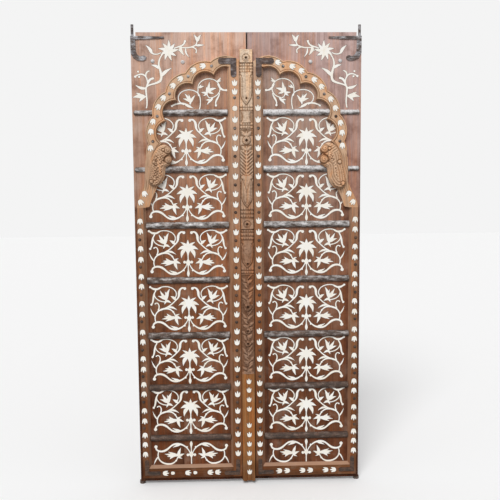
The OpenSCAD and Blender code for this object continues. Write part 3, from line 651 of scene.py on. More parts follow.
class Drawing:
    """Flat bone pieces; each is a list of cross lines from one edge to the other."""

    def __init__(self, steps, full=1.0):
        self.steps = steps
        self.full = full
        self.pieces = []

    def stem(self, p, widths):
        """A stem along a chain of curves."""
        self.pieces.append(strip_outline(bend_points(p, self.steps), [w * self.full for w in widths]))

    def oval(self, c, rx, ry, start, end, widths):
        """A stem round part of an oval, between two angles."""
        count = self.steps * 4
        points = []
        for i in range(count + 1):
            a = math.radians(start + (end - start) * i / count)
            points.append(np.array((c[0] + rx * math.cos(a), c[1] + ry * math.sin(a))))
        self.pieces.append(strip_outline(points, widths))

    def leaf(self, base, tip, a, b, sway=0.0):
        """A leaf with a width on each side of its middle line, which may sway."""
        base, tip = np.array(base, float), np.array(tip, float)
        ahead = tip - base
        across = np.array((-ahead[1], ahead[0])) / np.linalg.norm(ahead)
        a, b = a * self.full, b * self.full
        rows = []
        count = max(self.steps, 6)
        for i in range(count + 1):
            t = i / count
            swell = (math.sin(math.pi * t ** 0.72) * (1 - 0.25 * t)) if 0 < i < count else 0.0
            middle = base + ahead * t + across * sway * math.sin(math.pi * t)
            rows.append((middle + across * (a * swell + 0.15), middle - across * (b * swell + 0.15)))
        self.pieces.append(rows)

    def leaves(self, rows):
        """Leaves from a list of their sizes."""
        for row in rows:
            self.leaf(*row)

    def ball(self, c, r):
        """A round end."""
        rows = []
        for i in range(9):
            a = math.pi * i / 8
            h = max(r * math.sin(a), 0.05)
            x = c[0] - r * math.cos(a)
            rows.append((np.array((x, c[1] + h)), np.array((x, c[1] - h))))
        self.pieces.append(rows)

    def outline(self, half):
        """A symmetric shape from its right edge, listed from bottom to top."""
        self.pieces.append([(np.array((-x, y)), np.array((x, y))) for x, y in half])

    def placed(self, origin, scale=1.0, turn=0.0, flip_x=False, flip_y=False):
        """The pieces turned, scaled and moved to their place on the leaf."""
        c, s = math.cos(math.radians(turn)), math.sin(math.radians(turn))
        moved = []
        for rows in self.pieces:
            new = []
            for pair in rows:
                ends = []
                for q in pair:
                    x = (-q[0] if flip_x else q[0]) * scale
                    y = (-q[1] if flip_y else q[1]) * scale
                    ends.append((origin[0] + c * x - s * y, origin[1] + s * x + c * y))
                new.append(tuple(ends))
            moved.append(new)
        return moved


def widened(rows, by):
    """The cross lines of a flat piece, grown on all sides."""
    rows = [[np.array(q, float) for q in pair] for pair in rows]
    grown = []
    for p, q in rows:
        across = p - q
        across = across / max(np.linalg.norm(across), 1e-6)
        grown.append((p + across * by, q - across * by))
    for end, inner in ((0, 1), (-1, -2)):
        away = (rows[end][0] + rows[end][1] - rows[inner][0] - rows[inner][1]) / 2
        away = away / max(np.linalg.norm(away), 1e-6) * by
        grown[end] = (grown[end][0] + away, grown[end][1] + away)
    return grown


def raise_plate(shell, side, rows, low_out, out, mark, skip):
    """One flat piece with its edges, let into the wood."""
    top = [place(side, x, out, z) for pair in rows for x, z in pair]
    low = [place(side, x, low_out, z) for pair in rows for x, z in pair]
    n = len(top)
    kept = []
    for i in range(len(rows) - 1):
        middle = sum(np.array(q) for pair in rows[i:i + 2] for q in pair) / 4
        kept.append(not (skip and skip(middle[0], middle[1])))
    faces = []
    for i, stays in enumerate(kept):
        if not stays:
            continue
        a, b, c, d = 2 * i, 2 * i + 1, 2 * i + 3, 2 * i + 2
        faces += [(a, b, c, d), (a, d, d + n, a + n), (b, b + n, c + n, c)]
        if i == 0 or not kept[i - 1]:
            faces.append((a, a + n, b + n, b))
        if i == len(kept) - 1 or not kept[i + 1]:
            faces.append((d, c, c + n, d + n))
    if faces:
        shell.add(top + low, faces, mark)


# Width of the lac round the bone, how far both are let in, and the mark that tells the lac from the bone
LAC_WIDTH, LET_IN, LAC_MARK = 0.9, 0.4, -1.0


def set_inlay(shell, side, pieces, face_out, height, skip=None):
    """Raises flat pieces on the wood, each with a tone of its own and a thin line of lac around it."""
    low = face_out - LET_IN
    for rows in pieces:
        shell.count += 1
        tone_mark = (shell.count * 0.6180339) % 1.0
        # pieces that cross lie a hair apart in height
        drop = 0.007 * (shell.count % 43)
        raise_plate(shell, side, widened(rows, LAC_WIDTH), low, face_out + 0.3 * height - drop, LAC_MARK, skip)
        raise_plate(shell, side, rows, low, face_out + height - drop, tone_mark, skip)


def add_inlay(shell, name, side, stands_for):
    """Makes one piece of the bone that a shell has collected."""
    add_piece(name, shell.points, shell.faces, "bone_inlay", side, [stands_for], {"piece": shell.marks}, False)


def scroll_low_half(d):
    """Lower half of the panel scroll, right of the cross."""
    d.stem([(5, -6), (14, -34), (38, -52), (64, -52), (92, -52), (98, -32), (118, -22), (136, -13), (162, -18),
            (161, -38)], [3.2, 5, 8.5, 6, 8.5, 7, 6])
    d.stem([(148, -20), (162, 14), (140, 42), (102, 43), (80, 43), (66, 26), (60, 6)], [4, 5, 7, 4.5, 4.5])
    d.ball((161, -40), 7.2)
    d.ball((20, -36), 4.2)
    d.ball((70, 27), 4.2)
    d.leaf((149, 4), (172, 45), 3.2, 2.6, -3)
    d.leaves((
        ((64, 12), (32, -5), 6, 6, 2), ((62, 10), (42, 18), 3, 3, 0), ((61, 9), (48, -33), 6, 7, 2),
        ((57, 3), (122, -5), 6, 9, 2), ((72, -5), (99, 20), 7, 7, -2), ((66, 0), (106, -15), 6, 4, 0),
        ((70, 2), (112, 7), 6, 4, 0),
    ))
    d.leaf((46, -51), (85, -35), 6, 3, -2)
    d.leaf((100, -34), (128, -16), 3, 5, 2)


def scroll_low_middle(d):
    """Cross and drop on the axis of the scroll."""
    d.outline([(0.2, -65), (3.4, -61), (6.2, -53), (5.6, -46), (2.6, -36), (2.0, -28), (2.6, -16), (5.5, -10),
               (9.5, -6), (10.5, 0), (7, 6), (3.4, 11), (2.4, 16)])
    d.ball((15.5, 1), 6.4)
    d.ball((-15.5, 1), 6.4)


def scroll_high_half(d):
    """Upper half of the panel scroll, right of the lily."""
    d.stem([(132, 35), (98, 44), (78, 60), (64, 74), (50, 88), (43, 92), (43, 112), (42, 130), (29, 141), (17, 133)],
           [6, 5, 4.5, 6, 10, 7, 6])
    d.oval((104, 108), 49, 34.5, 208, -98, [4.5, 4.2, 4.2, 4.5])
    d.ball((17, 132.5), 6.4)
    d.stem([(122, 139), (142, 125), (158, 130), (170, 141)], [4, 9, 5])
    d.ball((171, 141), 4.8)
    d.stem([(146, 124), (162, 106), (154, 80), (166, 63)], [4, 7.5, 5])
    d.ball((167, 62), 5)
    d.stem([(138, 34), (126, 56), (138, 76), (150, 66)], [5.5, 4, 4])
    d.ball((150, 65.5), 3.2)
    d.leaf((96, 47), (52, 35), 2, 7, -4)
    d.leaf((57, 81), (81, 99), 6, 6, 2)
    d.leaves((
        ((106, 78), (78, 68), 4, 6, -2), ((99, 80), (109, 62), 4, 4, 1), ((103, 70), (99, 108), 4, 4, 0),
        ((102, 80), (84, 133), 7, 8, -3), ((101, 86), (128, 125), 6, 6, -2), ((102, 84), (138, 100), 6.5, 5.5, 2),
        ((96, 96), (106, 121), 3.5, 3.5, 0),
    ))


def scroll_high_middle(d):
    """Lily with its stem on the axis of the scroll."""
    d.outline([(2.2, 0), (2.4, 30), (4.5, 40), (9, 50), (14, 56), (14, 66), (11, 74), (7, 80), (0.5, 84)])
    d.leaf((0, 60), (0, 101), 8, 8)
    for side in (1, -1):
        d.leaf((0, 62), (side * 33, 91), 6.8, 7, side * 4)
        d.leaf((side * 2, 62), (side * 46, 57), 9, 9, side * 7)
        d.leaf((side * 10, 62), (side * 30, 18), 8.5, 8.5, side * 6)


def full_scroll(steps):
    """The whole panel motif, with both halves."""
    half, whole = Drawing(steps, 1.12), Drawing(steps, 1.06)
    scroll_low_half(half)
    scroll_high_half(half)
    scroll_low_middle(whole)
    scroll_high_middle(whole)
    return half, whole


def half_scroll(steps):
    """The lower half alone, for the panel at the foot."""
    half, whole = Drawing(steps, 1.12), Drawing(steps, 1.06)
    scroll_low_half(half)
    scroll_low_middle(whole)
    whole.outline([(2.2, 14), (2.2, 44)])
    return half, whole


def arch_scroll(steps):
    """The two rings under the arch, drawn from the panel's middle and the top bar."""
    d = Drawing(steps)
    d.stem([(-58, 71), (-54, 82), (-54, 90), (-55.5, 99)], [4.2, 4.2])
    d.oval((-103, 104), 48, 41, -8, 262, [4.2, 4.5, 4.5])
    d.stem([(-109, 63.5), (-101, 63), (-96, 70), (-94, 80)], [4.5, 4, 5])
    d.oval((-16, 64), 47, 34, 172, -62, [4.5, 4.2])
    d.stem([(-62.4, 69), (-66, 56), (-67, 34), (-58, 8)], [4.4, 4.5, 4.5])
    d.stem([(-140, 124), (-148, 106), (-160, 94), (-176, 96)], [4, 9, 5])
    d.ball((-177, 96), 5)
    d.stem([(-148, 84), (-148, 64), (-126, 54), (-132, 33)], [4, 8, 5])
    d.ball((-132, 31), 5)
    d.stem([(-24, 26), (0, 42), (30, 46), (58, 30)], [4, 8, 6])
    d.ball((59, 29), 4.5)
    d.leaves((
        ((-136, 130), (-155, 151), 4, 5, 2), ((-140, 132), (-157, 137), 3, 3),
        ((-120, 64), (-92, 33), 4, 7, 2), ((-108, 56), (-88, 54), 4, 4), ((4, 35), (-36, 19), 3, 5, 2),
        ((-20, 34), (-22, 64), 4, 4, 0), ((-21, 42), (-43, 76), 6, 6, -2), ((-20, 48), (4, 83), 6, 6, 2),
        ((-20, 46), (12, 60), 6, 5, 3), ((-22, 52), (-14, 80), 4, 4, 0),
        ((-94, 78), (-92, 112), 5, 5, 0), ((-94, 86), (-105, 133), 7, 7, 2), ((-95, 92), (-136, 105), 7, 7, -2),
        ((-96, 94), (-125, 81), 6, 6, 2), ((-96, 84), (-68, 87), 5, 5, 0), ((-95, 82), (-77, 71), 4, 4, 0),
        ((-57, 106), (-82, 114), 4, 5, 0), ((-60, 109), (-71, 121), 3, 3, 0),
    ))
    return d


def spandrel_spray(steps):
    """The flower spray in the corner above the arch; y is counted down from the top of the leaf."""
    d = Drawing(steps, 1.3)
    d.stem([(438, -322), (430, -296), (438, -268), (438, -240), (440, -218), (396, -222), (376, -206), (364, -190),
            (374, -164), (380, -142), (384, -116), (366, -92), (354, -84)], [4, 5, 6, 5, 8, 8, 6, 4.5, 4])
    fx, fy = flower = (338, -78)
    for k, far in enumerate((44, 40, 46, 42, 47, 40, 45, 43, 38)):
        a = math.radians(12 + 40 * k)
        dx, dy = math.cos(a), math.sin(a)
        d.leaf((fx + 4 * dx, fy + 4 * dy), (fx + far * dx, fy + far * dy), 5.6, 5.6, 2)
    d.ball(flower, 12)
    d.stem([(370, -86), (390, -98), (408, -94), (416, -78)], [3, 4, 7])
    d.leaf((408, -92), (436, -54), 6, 5, 4)
    d.stem([(314, -68), (288, -58), (274, -60), (267, -42)], [4, 5, 6])
    d.ball((266, -38), 5)
    d.stem([(296, -60), (262, -72), (236, -62), (226, -58)], [4, 4, 5])
    d.stem([(226, -58), (212, -50), (214, -34), (212, -22)], [4, 4])
    d.leaves((
        ((214, -40), (228, -10), 5, 4, 3), ((212, -40), (196, -10), 5, 5, -3), ((222, -56), (183, -54), 4, 4),
        ((288, -60), (270, -98), 6, 5, 3), ((278, -64), (296, -80), 3, 3), ((264, -66), (248, -106), 3, 3, 6),
    ))
    d.stem([(240, -62), (222, -66), (212, -72), (220, -88)], [4, 4, 4])
    d.leaves((
        ((374, -188), (324, -151), 7, 5, -5), ((377, -154), (414, -138), 5, 5, 4),
        ((438, -272), (496, -276), 4, 12, 8), ((448, -270), (468, -294), 5, 5, 0),
        ((458, -266), (482, -256), 4, 4, 0), ((436, -238), (484, -222), 5, 5, -5),
    ))
    d.stem([(436, -236), (428, -206), (420, -196), (408, -196)], [4, 8, 6])
    d.ball((407, -195), 5)
    d.stem([(430, -214), (432, -176), (456, -168), (482, -186)], [4, 5, 4])
    d.ball((483, -187), 5)
    d.ball((470, -166), 4.5)
    d.ball((466, -188), 4.5)
    d.stem([(436, -186), (440, -172), (428, -162), (420, -164)], [4, 5, 3])
    return d


# Right edges of the buds, from bottom to top
BUDS = {
    "whole": [(0.3, -11), (4, -10.6), (7.6, -8), (9.6, -4), (9.8, -0.5), (7.6, 2.2), (4.4, 3.6), (3.6, 6.6), (2.2, 11),
              (0.2, 14.5)],
    "worn": [(0.3, -10.6), (4.4, -10), (8, -7.6), (9.8, -3), (9.4, 3), (6.8, 7.6), (2, 9.4)],
    "broken": [(3.0, -8), (6.4, -6), (6.8, 0), (5.2, 5), (2.2, 7.5)],
}
BUD_SCALE = 28.0 / 25.5
# Heights of the buds on the stiles, from the bar above or below them
INNER_BUDS, OUTER_BUDS = (17, -33, -110, -156), (20, -24, -101, -149)
# How far those buds lie from the edges of their stiles, and how far two buds lean apart in each lobe of the arch
INNER_BUD_IN, OUTER_BUD_IN, LOBE_LEAN = 19, 12, 3.6


def bud_drawing(kind="whole"):
    """A tulip bud; worn ones have lost their tip, broken ones most of their head."""
    d = Drawing(6)
    d.outline(BUDS[kind])
    if kind == "whole":
        for s in (1, -1):
            d.leaf((s * 6.4, -3), (s * 9.6, 10.6), 3.2, 3.2)
    return d


def frame_bud_places(side):
    """Place, turn and kind of each bud on the frame of a leaf."""
    x_in, x_out = INNER_NEAR[side] + INNER_BUD_IN, OUTER_FAR - OUTER_BUD_IN
    arch = ARCHES[side]
    # the ends of the stiles and the foot of the arch
    found = [((x_in, BAR_Z[0] + 124 * PITCH), 0, "whole"), ((x_in, BAR_Z[0] + 87 * PITCH), 0, "whole"),
             ((x_in, BAR_Z[6] - 74 * PITCH), 0, "whole"), ((x_out, BAR_Z[6] - 70 * PITCH), 180, "whole"),
             ((arch.foot_x + 10, FOOT_END[side] + 61), 160, "whole"),
             ((arch.foot_x + 28, FOOT_END[side] + 24), 150, "whole")]
    # the stiles, between the bars
    for k in range(7):
        for i, step in enumerate(INNER_BUDS):
            if k < 6 or i < 2:
                kind = "worn" if side == "left" and k == 0 and i == 0 else "whole"
                found.append(((x_in, BAR_Z[k] + step * PITCH), 0, kind))
    for k in range(2, 7):
        for step in OUTER_BUDS:
            if k < 6 or step > -50:
                found.append(((x_out, BAR_Z[k] + step * PITCH), 180, "whole"))
    # the arch, two to a lobe, a little uneven
    drift = [0.85 * (1 - k) if side == "left" else 1.5 - 0.6 * (k - 1) for k in range(5)]
    on_arch = [arch.angles[k] + lean + drift[k] for k in range(1, 5) for lean in (-LOBE_LEAN, LOBE_LEAN)]
    on_arch.append(arch.angles[5] - 6.4)
    if side == "right":
        on_arch.append(arch.angles[0] + 6.2)
    for a in on_arch:
        found.append((arch.at(arch.ring + arch.inner + arch.band / 2, a), -90 - a, "whole"))
    # the rail, in pairs
    spread_out = (OUTER_NEAR - INNER_FAR[side]) / DRAWN_PANEL
    for i in range(6):
        kind = "broken" if side == "left" and i in (2, 4) else "whole"
        x = INNER_FAR[side] + spread_out * (62 + 102 * (i // 2) + 34 * (i % 2))
        found.append(((x, RAIL_LOW + 22), 90, kind))
    return found


class DOOR_OT_inlay(bpy.types.Operator):
    """Sets the bone scrolls, buds and sprays into both leaves"""

    bl_idname = "door.inlay"
    bl_label = "Bone inlay"

    def execute(self, context):
        sizes = context.scene.door_sizes
        steps, height = sizes.curve_steps, sizes.inlay_out
        for side in SIDES:
            self.panels(side, steps, height)
            buds = Shell()
            for at, turn, kind in frame_bud_places(side):
                set_inlay(buds, side, bud_drawing(kind).placed(at, BUD_SCALE, turn), FRAME_OUT, height)
            add_inlay(buds, side + "_bone_buds", side, side + "_frame_buds")
            spray = Shell()
            set_inlay(spray, side, spandrel_spray(steps).placed((HALF - 500, LEAF_TOP)), 0, height)
            add_inlay(spray, side + "_flower_spray", side, side + "_spandrel_inlay")
        return {"FINISHED"}

    def panels(self, side, steps, height):
        """The scrolls between the bars, under the arch and at the foot of one leaf."""
        middle = (INNER_FAR[side] + OUTER_NEAR) / 2
        scale = min((OUTER_NEAR - INNER_FAR[side]) / DRAWN_PANEL, PITCH)
        panels = Shell()
        half, whole = full_scroll(steps)
        for k in range(1, 7):
            at = (middle, BAR_Z[k] + 80 * PITCH)
            lost = ARCHES[side].covers if k == 1 else None
            if side == "left" and k == 3:
                def lost(x, z, at=at):
                    """The place of the piece that has come away."""
                    return -165 < x - at[0] < -116 and -10 < z - at[1] < 9
            for flip in (False, True):
                set_inlay(panels, side, half.placed(at, scale, flip_x=flip), 0, height, lost)
            set_inlay(panels, side, whole.placed(at, scale), 0, height)
        half, whole = half_scroll(steps)
        at = (middle, BAR_Z[6] - 82 * PITCH)
        for flip in (False, True):
            set_inlay(panels, side, half.placed(at, scale, flip_x=flip, flip_y=True), 0, height)
        set_inlay(panels, side, whole.placed(at, scale, flip_y=True), 0, height)
        set_inlay(panels, side, arch_scroll(steps).placed((middle, BAR_Z[0]), scale), 0, height)
        add_inlay(panels, side + "_panel_scrolls", side, side + "_panel_inlay")


class DOOR_OT_boards(bpy.types.Operator):
    """Gives the boards, ledges, stiles and rails their wood and worn edges"""

    bl_idname = "door.boards"
    bl_label = "Boards and frame"

    def execute(self, context):
        wear = context.scene.door_sizes.edge_wear
        for side, boards in zip(SIDES, ("aged_boards", "greyed_boards")):
            for n in ("inner", "middle", "outer"):
                round_edges("%s_board_%s" % (side, n), boards, wear)
            for n in ("low", "middle", "top"):
                round_edges("%s_ledge_%s" % (side, n), "aged_ledges", wear * 2)
            round_edges(side + "_outer_stile", "aged_stiles", wear)
            round_edges(side + "_inner_stile", "aged_stiles", wear)
            round_edges(side + "_bottom_rail", "aged_rails", wear)
        return {"FINISHED"}


# How bright the bars are worn, from the top to the foot
BAR_WEAR = {
    "left": (0.46, 0.5, 0.46, 0.32, 0.24, 0.06, 0.04),
    "right": (0.86, 0.7, 0.48, 0.34, 0.24, 0.1, 0.08),
}


# Spacing of the points along a bar, its faces round the front, and where the painted highlight lies on it
BAR_STEP, BAR_FACES, PAINTED_HIGHLIGHT_ANGLE = 3, 14, math.radians(32)


class DOOR_OT_bars(bpy.types.Operator):
    """Forges the half-round bars with hammer marks, and worn crests with a painted highlight along their tops"""

    bl_idname = "door.bars"
    bl_label = "Iron bars"

    def execute(self, context):
        depth = context.scene.door_sizes.hammer_depth
        for side in SIDES:
            for k, bright in enumerate(BAR_WEAR[side]):
                self.forge(side, k, INNER_FAR[side], HALF - 5 if k < 2 else OUTER_NEAR, depth, bright)
        return {"FINISHED"}

    def forge(self, side, k, x0, x1, depth, bright):
        """One bar: rings of points along it, uneven as forged iron is."""
        along, arch = int((x1 - x0) / BAR_STEP), ARCHES[side]
        seed = k * 37.0 + (500.0 if side == "left" else 0.0)
        points, wear, faces = [], [], []
        for i in range(along + 1):
            x = x0 + (x1 - x0) * i / along
            for j in range(BAR_FACES + 1):
                a = math.radians(-90 + 180 * j / BAR_FACES)
                dent = rough(x, j * 3.0 + seed, seed, 21) * 0.7 + rough(x, j * 4.0, seed + 9, 9) * 0.4
                r = BAR_RADIUS - 0.5 * depth + depth * dent * (0.3 + 0.7 * math.cos(a)) * 0.5
                if k < 2:
                    # thinner outside the arch, with a rounded end
                    r *= 1 - 0.24 * float(soft_step(x, arch.foot_x - 50, arch.foot_x - 20))
                    r *= math.sqrt(max(1 - max((x - x1 + 10) / 10, 0.0) ** 2, 0.02))
                points.append(place(side, x, max(r * math.cos(a), 0.0), BAR_Z[k] + r * math.sin(a)))
                # painted highlight along the upper crest and painted shade underneath, mixed into the bar's wear mark
                crest = max(0.0, math.cos(a - PAINTED_HIGHLIGHT_ANGLE))
                wear.append(max(0.0, bright * (0.55 + 0.58 * crest ** 2) + 0.45 * dent * bright))
        row = BAR_FACES + 1
        for i in range(along):
            for j in range(BAR_FACES):
                a = i * row + j
                faces.append((a, a + row, a + row + 1, a + 1))
        faces += [tuple(range(row)), tuple(reversed(range(along * row, (along + 1) * row)))]
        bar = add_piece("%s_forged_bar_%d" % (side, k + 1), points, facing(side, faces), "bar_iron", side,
                        ["%s_bar_%d" % (side, k + 1)], {"wear": wear})
        sharpen(bar, 50)


# Places of the bare studs from the outer edge and the top of the leaf, with the size of their heads
BARE_STUDS, HEAD_RADIUS, HEAD_RISE = ((93, 122), (223, 126)), 9, 6


class DOOR_OT_iron(bpy.types.Operator):
    """Finishes the plates, straps, pivots, sockets and studs in forged iron"""

    bl_idname = "door.iron"
    bl_label = "Plates, straps and studs"

    def execute(self, context):
        for side in SIDES:
            for n, finish, width in (
                ("crown_plate", "plate_iron", 0.0012), ("corner_plate_outer", "corner_iron", 0.0012),
                ("corner_plate_inner", "corner_iron", 0.0012), ("top_strap", "strap_iron", 0.0012),
                ("foot_pivot", "forged_iron", 0.0), ("socket", "forged_iron", 0.0008), ("studs", "stud_iron", 0.0),
            ):
                round_edges("%s_%s" % (side, n), finish, width)
            self.heads(side)
        return {"FINISHED"}

    def heads(self, side):
        """The broad bright heads of the two studs on the bare boards above the arch."""
        shell, turns, rings = Shell(), 20, 6
        for across, down in BARE_STUDS:
            x, z = HALF - across, LEAF_TOP - down
            points = [place(side, x, HEAD_RISE, z)]
            for i in range(1, rings + 1):
                lean = math.pi / 2 * i / rings
                r = HEAD_RADIUS * math.sin(lean)
                for j in range(turns):
                    a = 2 * math.pi * j / turns
                    points.append(place(side, x + r * math.cos(a), HEAD_RISE * math.cos(lean), z + r * math.sin(a)))
            faces = [(0, 1 + j, 1 + (j + 1) % turns) for j in range(turns)]
            for i in range(rings - 1):
                for j in range(turns):
                    a, b = 1 + i * turns + j, 1 + i * turns + (j + 1) % turns
                    faces.append((a, a + turns, b + turns, b))
            shell.add(points, facing(side, faces))
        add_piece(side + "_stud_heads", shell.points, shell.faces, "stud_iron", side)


# Carving: faces raised by a height over a flat grid


def soft_step(x, low, high):
    """Rises smoothly from 0 at low to 1 at high."""
    t = np.clip((x - low) / (high - low), 0.0, 1.0)
    return t * t * (3 - 2 * t)


def rounded(distance, radius):
    """1 in the middle of a boss, falling to 0 at its edge."""
    return np.clip(1 - (distance / radius) ** 2, 0.0, 1.0)


def bump_ring(distance, middle, width):
    """A rounded ridge where the distance is near its middle."""
    return np.sqrt(rounded(distance - middle, width))


def wave(v, length):
    """Rises and falls between 0 and 1."""
    return 0.5 + 0.5 * np.cos(v * 2 * math.pi / length)


def carved_slab(side, x, out, z, painted_shade, backs, wall_shade, turned):
    """Points, faces and painted-shade marks of a carved face with walls to its back along both edges and ends; the
    walls take one mark of painted shade.
    """
    n, m = x.shape
    points = [place(side, *at) for at in zip(x.flat, out.flat, z.flat)]
    marks = [float(h) for h in painted_shade.flat]
    for i in range(n):
        for j, back in ((0, backs[0]), (m - 1, backs[1])):
            points.append(place(side, x[i, j], back, z[i, j]))
            marks.append(wall_shade)
    faces, wall = [], n * m
    for i in range(n - 1):
        for j in range(m - 1):
            a = i * m + j
            faces.append((a, a + m, a + m + 1, a + 1))
        faces.append((i * m, wall + 2 * i, wall + 2 * i + 2, (i + 1) * m))
        faces.append((i * m + m - 1, (i + 1) * m + m - 1, wall + 2 * i + 3, wall + 2 * i + 1))
    faces.append((*range(m), wall + 1, wall))
    faces.append((wall + 2 * n - 2, wall + 2 * n - 1, *reversed(range(n * m - m, n * m))))
    return points, [face[::-1] for face in faces] if turned else faces, marks


def ray_reach(arch, angle, radius):
    """Distance from the arch centre to the edge of a ring of lobes along an angle."""
    a = math.radians(angle)
    dx, dz = math.sin(a), math.cos(a)
    best = arch.ring
    for cx, cz in arch.lobes:
        px, pz = cx - arch.middle, cz - arch.z
        b = px * dx + pz * dz
        gap = b * b - (px * px + pz * pz - radius * radius)
        if gap > 0:
            best = max(best, b + math.sqrt(gap))
    return best


def arch_height(arch, x, z):
    """Height of the arch's face: a stepped moulding along the opening and a bead along the outside."""
    from_lobes = np.min([np.hypot(x - cx, z - cz) for cx, cz in arch.lobes], axis=0)
    inside, outside = from_lobes - arch.inner, arch.outer - from_lobes
    out = FRAME_OUT - 7 * (1 - soft_step(inside, -0.1, 2.2))
    for edge, middle, width, rise in (
        (inside, 5.0, 3.0, 4.0), (inside, 9.4, 1.4, -1.8), (outside, 2.6, 2.6, 3.4), (outside, 6.2, 1.1, -1.4),
    ):
        out = out + rise * bump_ring(edge, middle, width)
    # painted shade in the groove of the moulding and along the edge of the opening, and faintly in the outer groove
    painted_shade = 0.9 * bump_ring(inside, 9.4, 1.8) + 0.8 * bump_ring(inside, 1.2, 1.6)
    painted_shade = painted_shade + 0.2 * bump_ring(outside, 6.2, 1.5)
    return out, np.clip(painted_shade, 0, 1)


class DOOR_OT_arches(bpy.types.Operator):
    """Carves the cusped half arch of each leaf with its mouldings"""

    bl_idname = "door.arches"
    bl_label = "Arches"

    def execute(self, context):
        for side in SIDES:
            self.carve(side)
        return {"FINISHED"}

    def cross_lines(self, side):
        """Lines across the arch from its opening to its outside, from the crown to the foot."""
        arch, near, far = ARCHES[side], INNER_NEAR[side], INNER_FAR[side]
        cusps = [a + 9.5 for a in arch.angles[:5]]
        lines = []
        for a in sorted(set(np.arange(-8.0, arch.angles[5], 0.45)) | set(cusps) | {arch.angles[5]}):
            high = arch.at(ray_reach(arch, a, arch.outer), a)
            low = arch.at(ray_reach(arch, a, arch.inner), a)
            if low[0] < far:
                low = arch.at((CROWN_LOW - arch.z) / math.cos(math.radians(a)), a)
            if low[0] > near:
                lines.append((low, high))
        lines.insert(0, ((near, CROWN_LOW), (near, lines[0][1][1] - 3)))
        x, top, end = arch.foot_x, arch.foot_top, FOOT_END[side]
        outer = [(top, x), (top - 60, x + 6), (end + 110, x + 6), (end + 24, OUTER_FAR - 4), (end, OUTER_FAR)]
        inner = [(top, x - arch.band), (end + 98, x - arch.band), (end + 76, x - 39), (end + 38, x - 21),
                 (end + 4, x - 10), (end, OUTER_NEAR)]
        for z in np.linspace(top - 24, end, 66):
            ends = [float(np.interp(-z, [-q[0] for q in edge], [q[1] for q in edge])) for edge in (inner, outer)]
            lines.append(((ends[0], z), (ends[1], z)))
        return lines

    def carve(self, side):
        """One arch: its mouldings, the shade of the bird on it and the tail feathers on its foot."""
        arch, far = ARCHES[side], INNER_FAR[side]
        lines = self.cross_lines(side)
        t = (1 - np.cos(np.linspace(0, math.pi, 31))) / 2
        low = np.array([line[0] for line in lines])
        high = np.array([line[1] for line in lines])
        x = low[:, :1] * (1 - t) + high[:, :1] * t
        z = low[:, 1:] * (1 - t) + high[:, 1:] * t
        out, painted_shade = arch_height(arch, x, z)
        plain = soft_step(z, arch.foot_top + 14, arch.foot_top - 4)
        plain = np.maximum(plain, soft_step(x, far + 2, far - 2) * (z > CROWN_LOW - 1))
        out = out * (1 - plain) + FRAME_OUT * plain
        painted_shade = painted_shade * (1 - plain)
        (ox, oz), size = arch.bird, arch.bird_scale
        beside = outline_distance(x, z, smooth_outline([(ox + size * u, oz + size * w) for u, w in BIRD], 2))[0]
        # painted shadow that the bird casts on the arch beside it
        shade = (beside < 0) * soft_step(beside, -8, -1) * soft_step(z, oz - 80 * size, oz - 40 * size)
        painted_shade = np.maximum(painted_shade, 0.95 * shade)
        start = 34 if side == "right" else 150
        feathers = soft_step(z, oz - 222 * size, oz - 196 * size)
        feathers = feathers * soft_step(z, oz - start * size, oz - (start + 24) * size)
        strand = wave(x + 0.2 * z + 2 * np.sin(z / 14), 10.0)
        out = out - 2.2 * feathers * (1 - strand)
        # painted shade in the grooves between the tail feathers
        painted_shade = np.maximum(painted_shade, feathers * np.clip(0.8 - 1.9 * strand, 0, 1))
        points, faces, marks = carved_slab(side, x, out, z, painted_shade, (0.0, 0.0), 0.6, side == "left")
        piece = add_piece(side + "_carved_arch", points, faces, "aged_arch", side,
                          [side + "_arch"], {"painted_shade": marks})
        sharpen(piece, 40)


def outline_distance(x, z, outline):
    """Signed distance to an outline, positive inside, with the nearest point on it."""
    best = np.full(x.shape, 1e9)
    near_x, near_z = np.zeros_like(x), np.zeros_like(x)
    inside = np.zeros(x.shape, bool)
    for (x0, z0), (x1, z1) in zip(outline, outline[1:] + outline[:1]):
        dx, dz = x1 - x0, z1 - z0
        t = np.clip(((x - x0) * dx + (z - z0) * dz) / (dx * dx + dz * dz + 1e-12), 0, 1)
        px, pz = x0 + t * dx, z0 + t * dz
        d = np.hypot(x - px, z - pz)
        closer = d < best
        best = np.where(closer, d, best)
        near_x, near_z = np.where(closer, px, near_x), np.where(closer, pz, near_z)
        cross = ((z0 > z) != (z1 > z)) & (x < (x1 - x0) * (z - z0) / (z1 - z0 + 1e-12) + x0)
        inside ^= cross
    return np.where(inside, best, -best), near_x, near_z


def smooth_outline(points, steps):
    """A closed soft curve through points."""
    found = []
    n = len(points)
    for i in range(n):
        a, b, c, d = (np.array(points[(i + k) % n], float) for k in (-1, 0, 1, 2))
        for s in range(steps):
            t = s / steps
            q = 0.5 * (2 * b + (c - a) * t + (2 * a - 5 * b + 4 * c - d) * t * t + (3 * b - 3 * c + d - a) * t ** 3)
            found.append((float(q[0]), float(q[1])))
    return found


def leaf_ridge(x, z, base, tip, width, rise):
    """A carved leaf from base to tip with a ridge along its middle."""
    bx, bz = base
    dx, dz = tip[0] - bx, tip[1] - bz
    length = math.hypot(dx, dz)
    u = ((x - bx) * dx + (z - bz) * dz) / length ** 2
    v = ((x - bx) * -dz + (z - bz) * dx) / length
    shape = np.sin(math.pi * np.clip(u, 0, 1) ** 0.8)
    side = np.clip(1 - np.abs(v) / np.maximum(width * shape, 0.01), 0, 1)
    return rise * np.sqrt(side) * (shape > 0.02)


# The bird looks toward the middle of the door, drawn from the top of its neck
BIRD = [(0, 0), (-18, -1), (-33, -12), (-42, -25), (-42, -38), (-35, -46), (-44, -62), (-43, -76), (-37, -88),
        (-26, -98), (-16, -104), (-13, -122), (-11, -140), (-6, -156), (3, -171), (15, -183), (30, -190), (48, -188),
        (62, -176), (66, -158), (61, -134), (56, -110), (51, -84), (45, -56), (35, -32), (20, -12)]


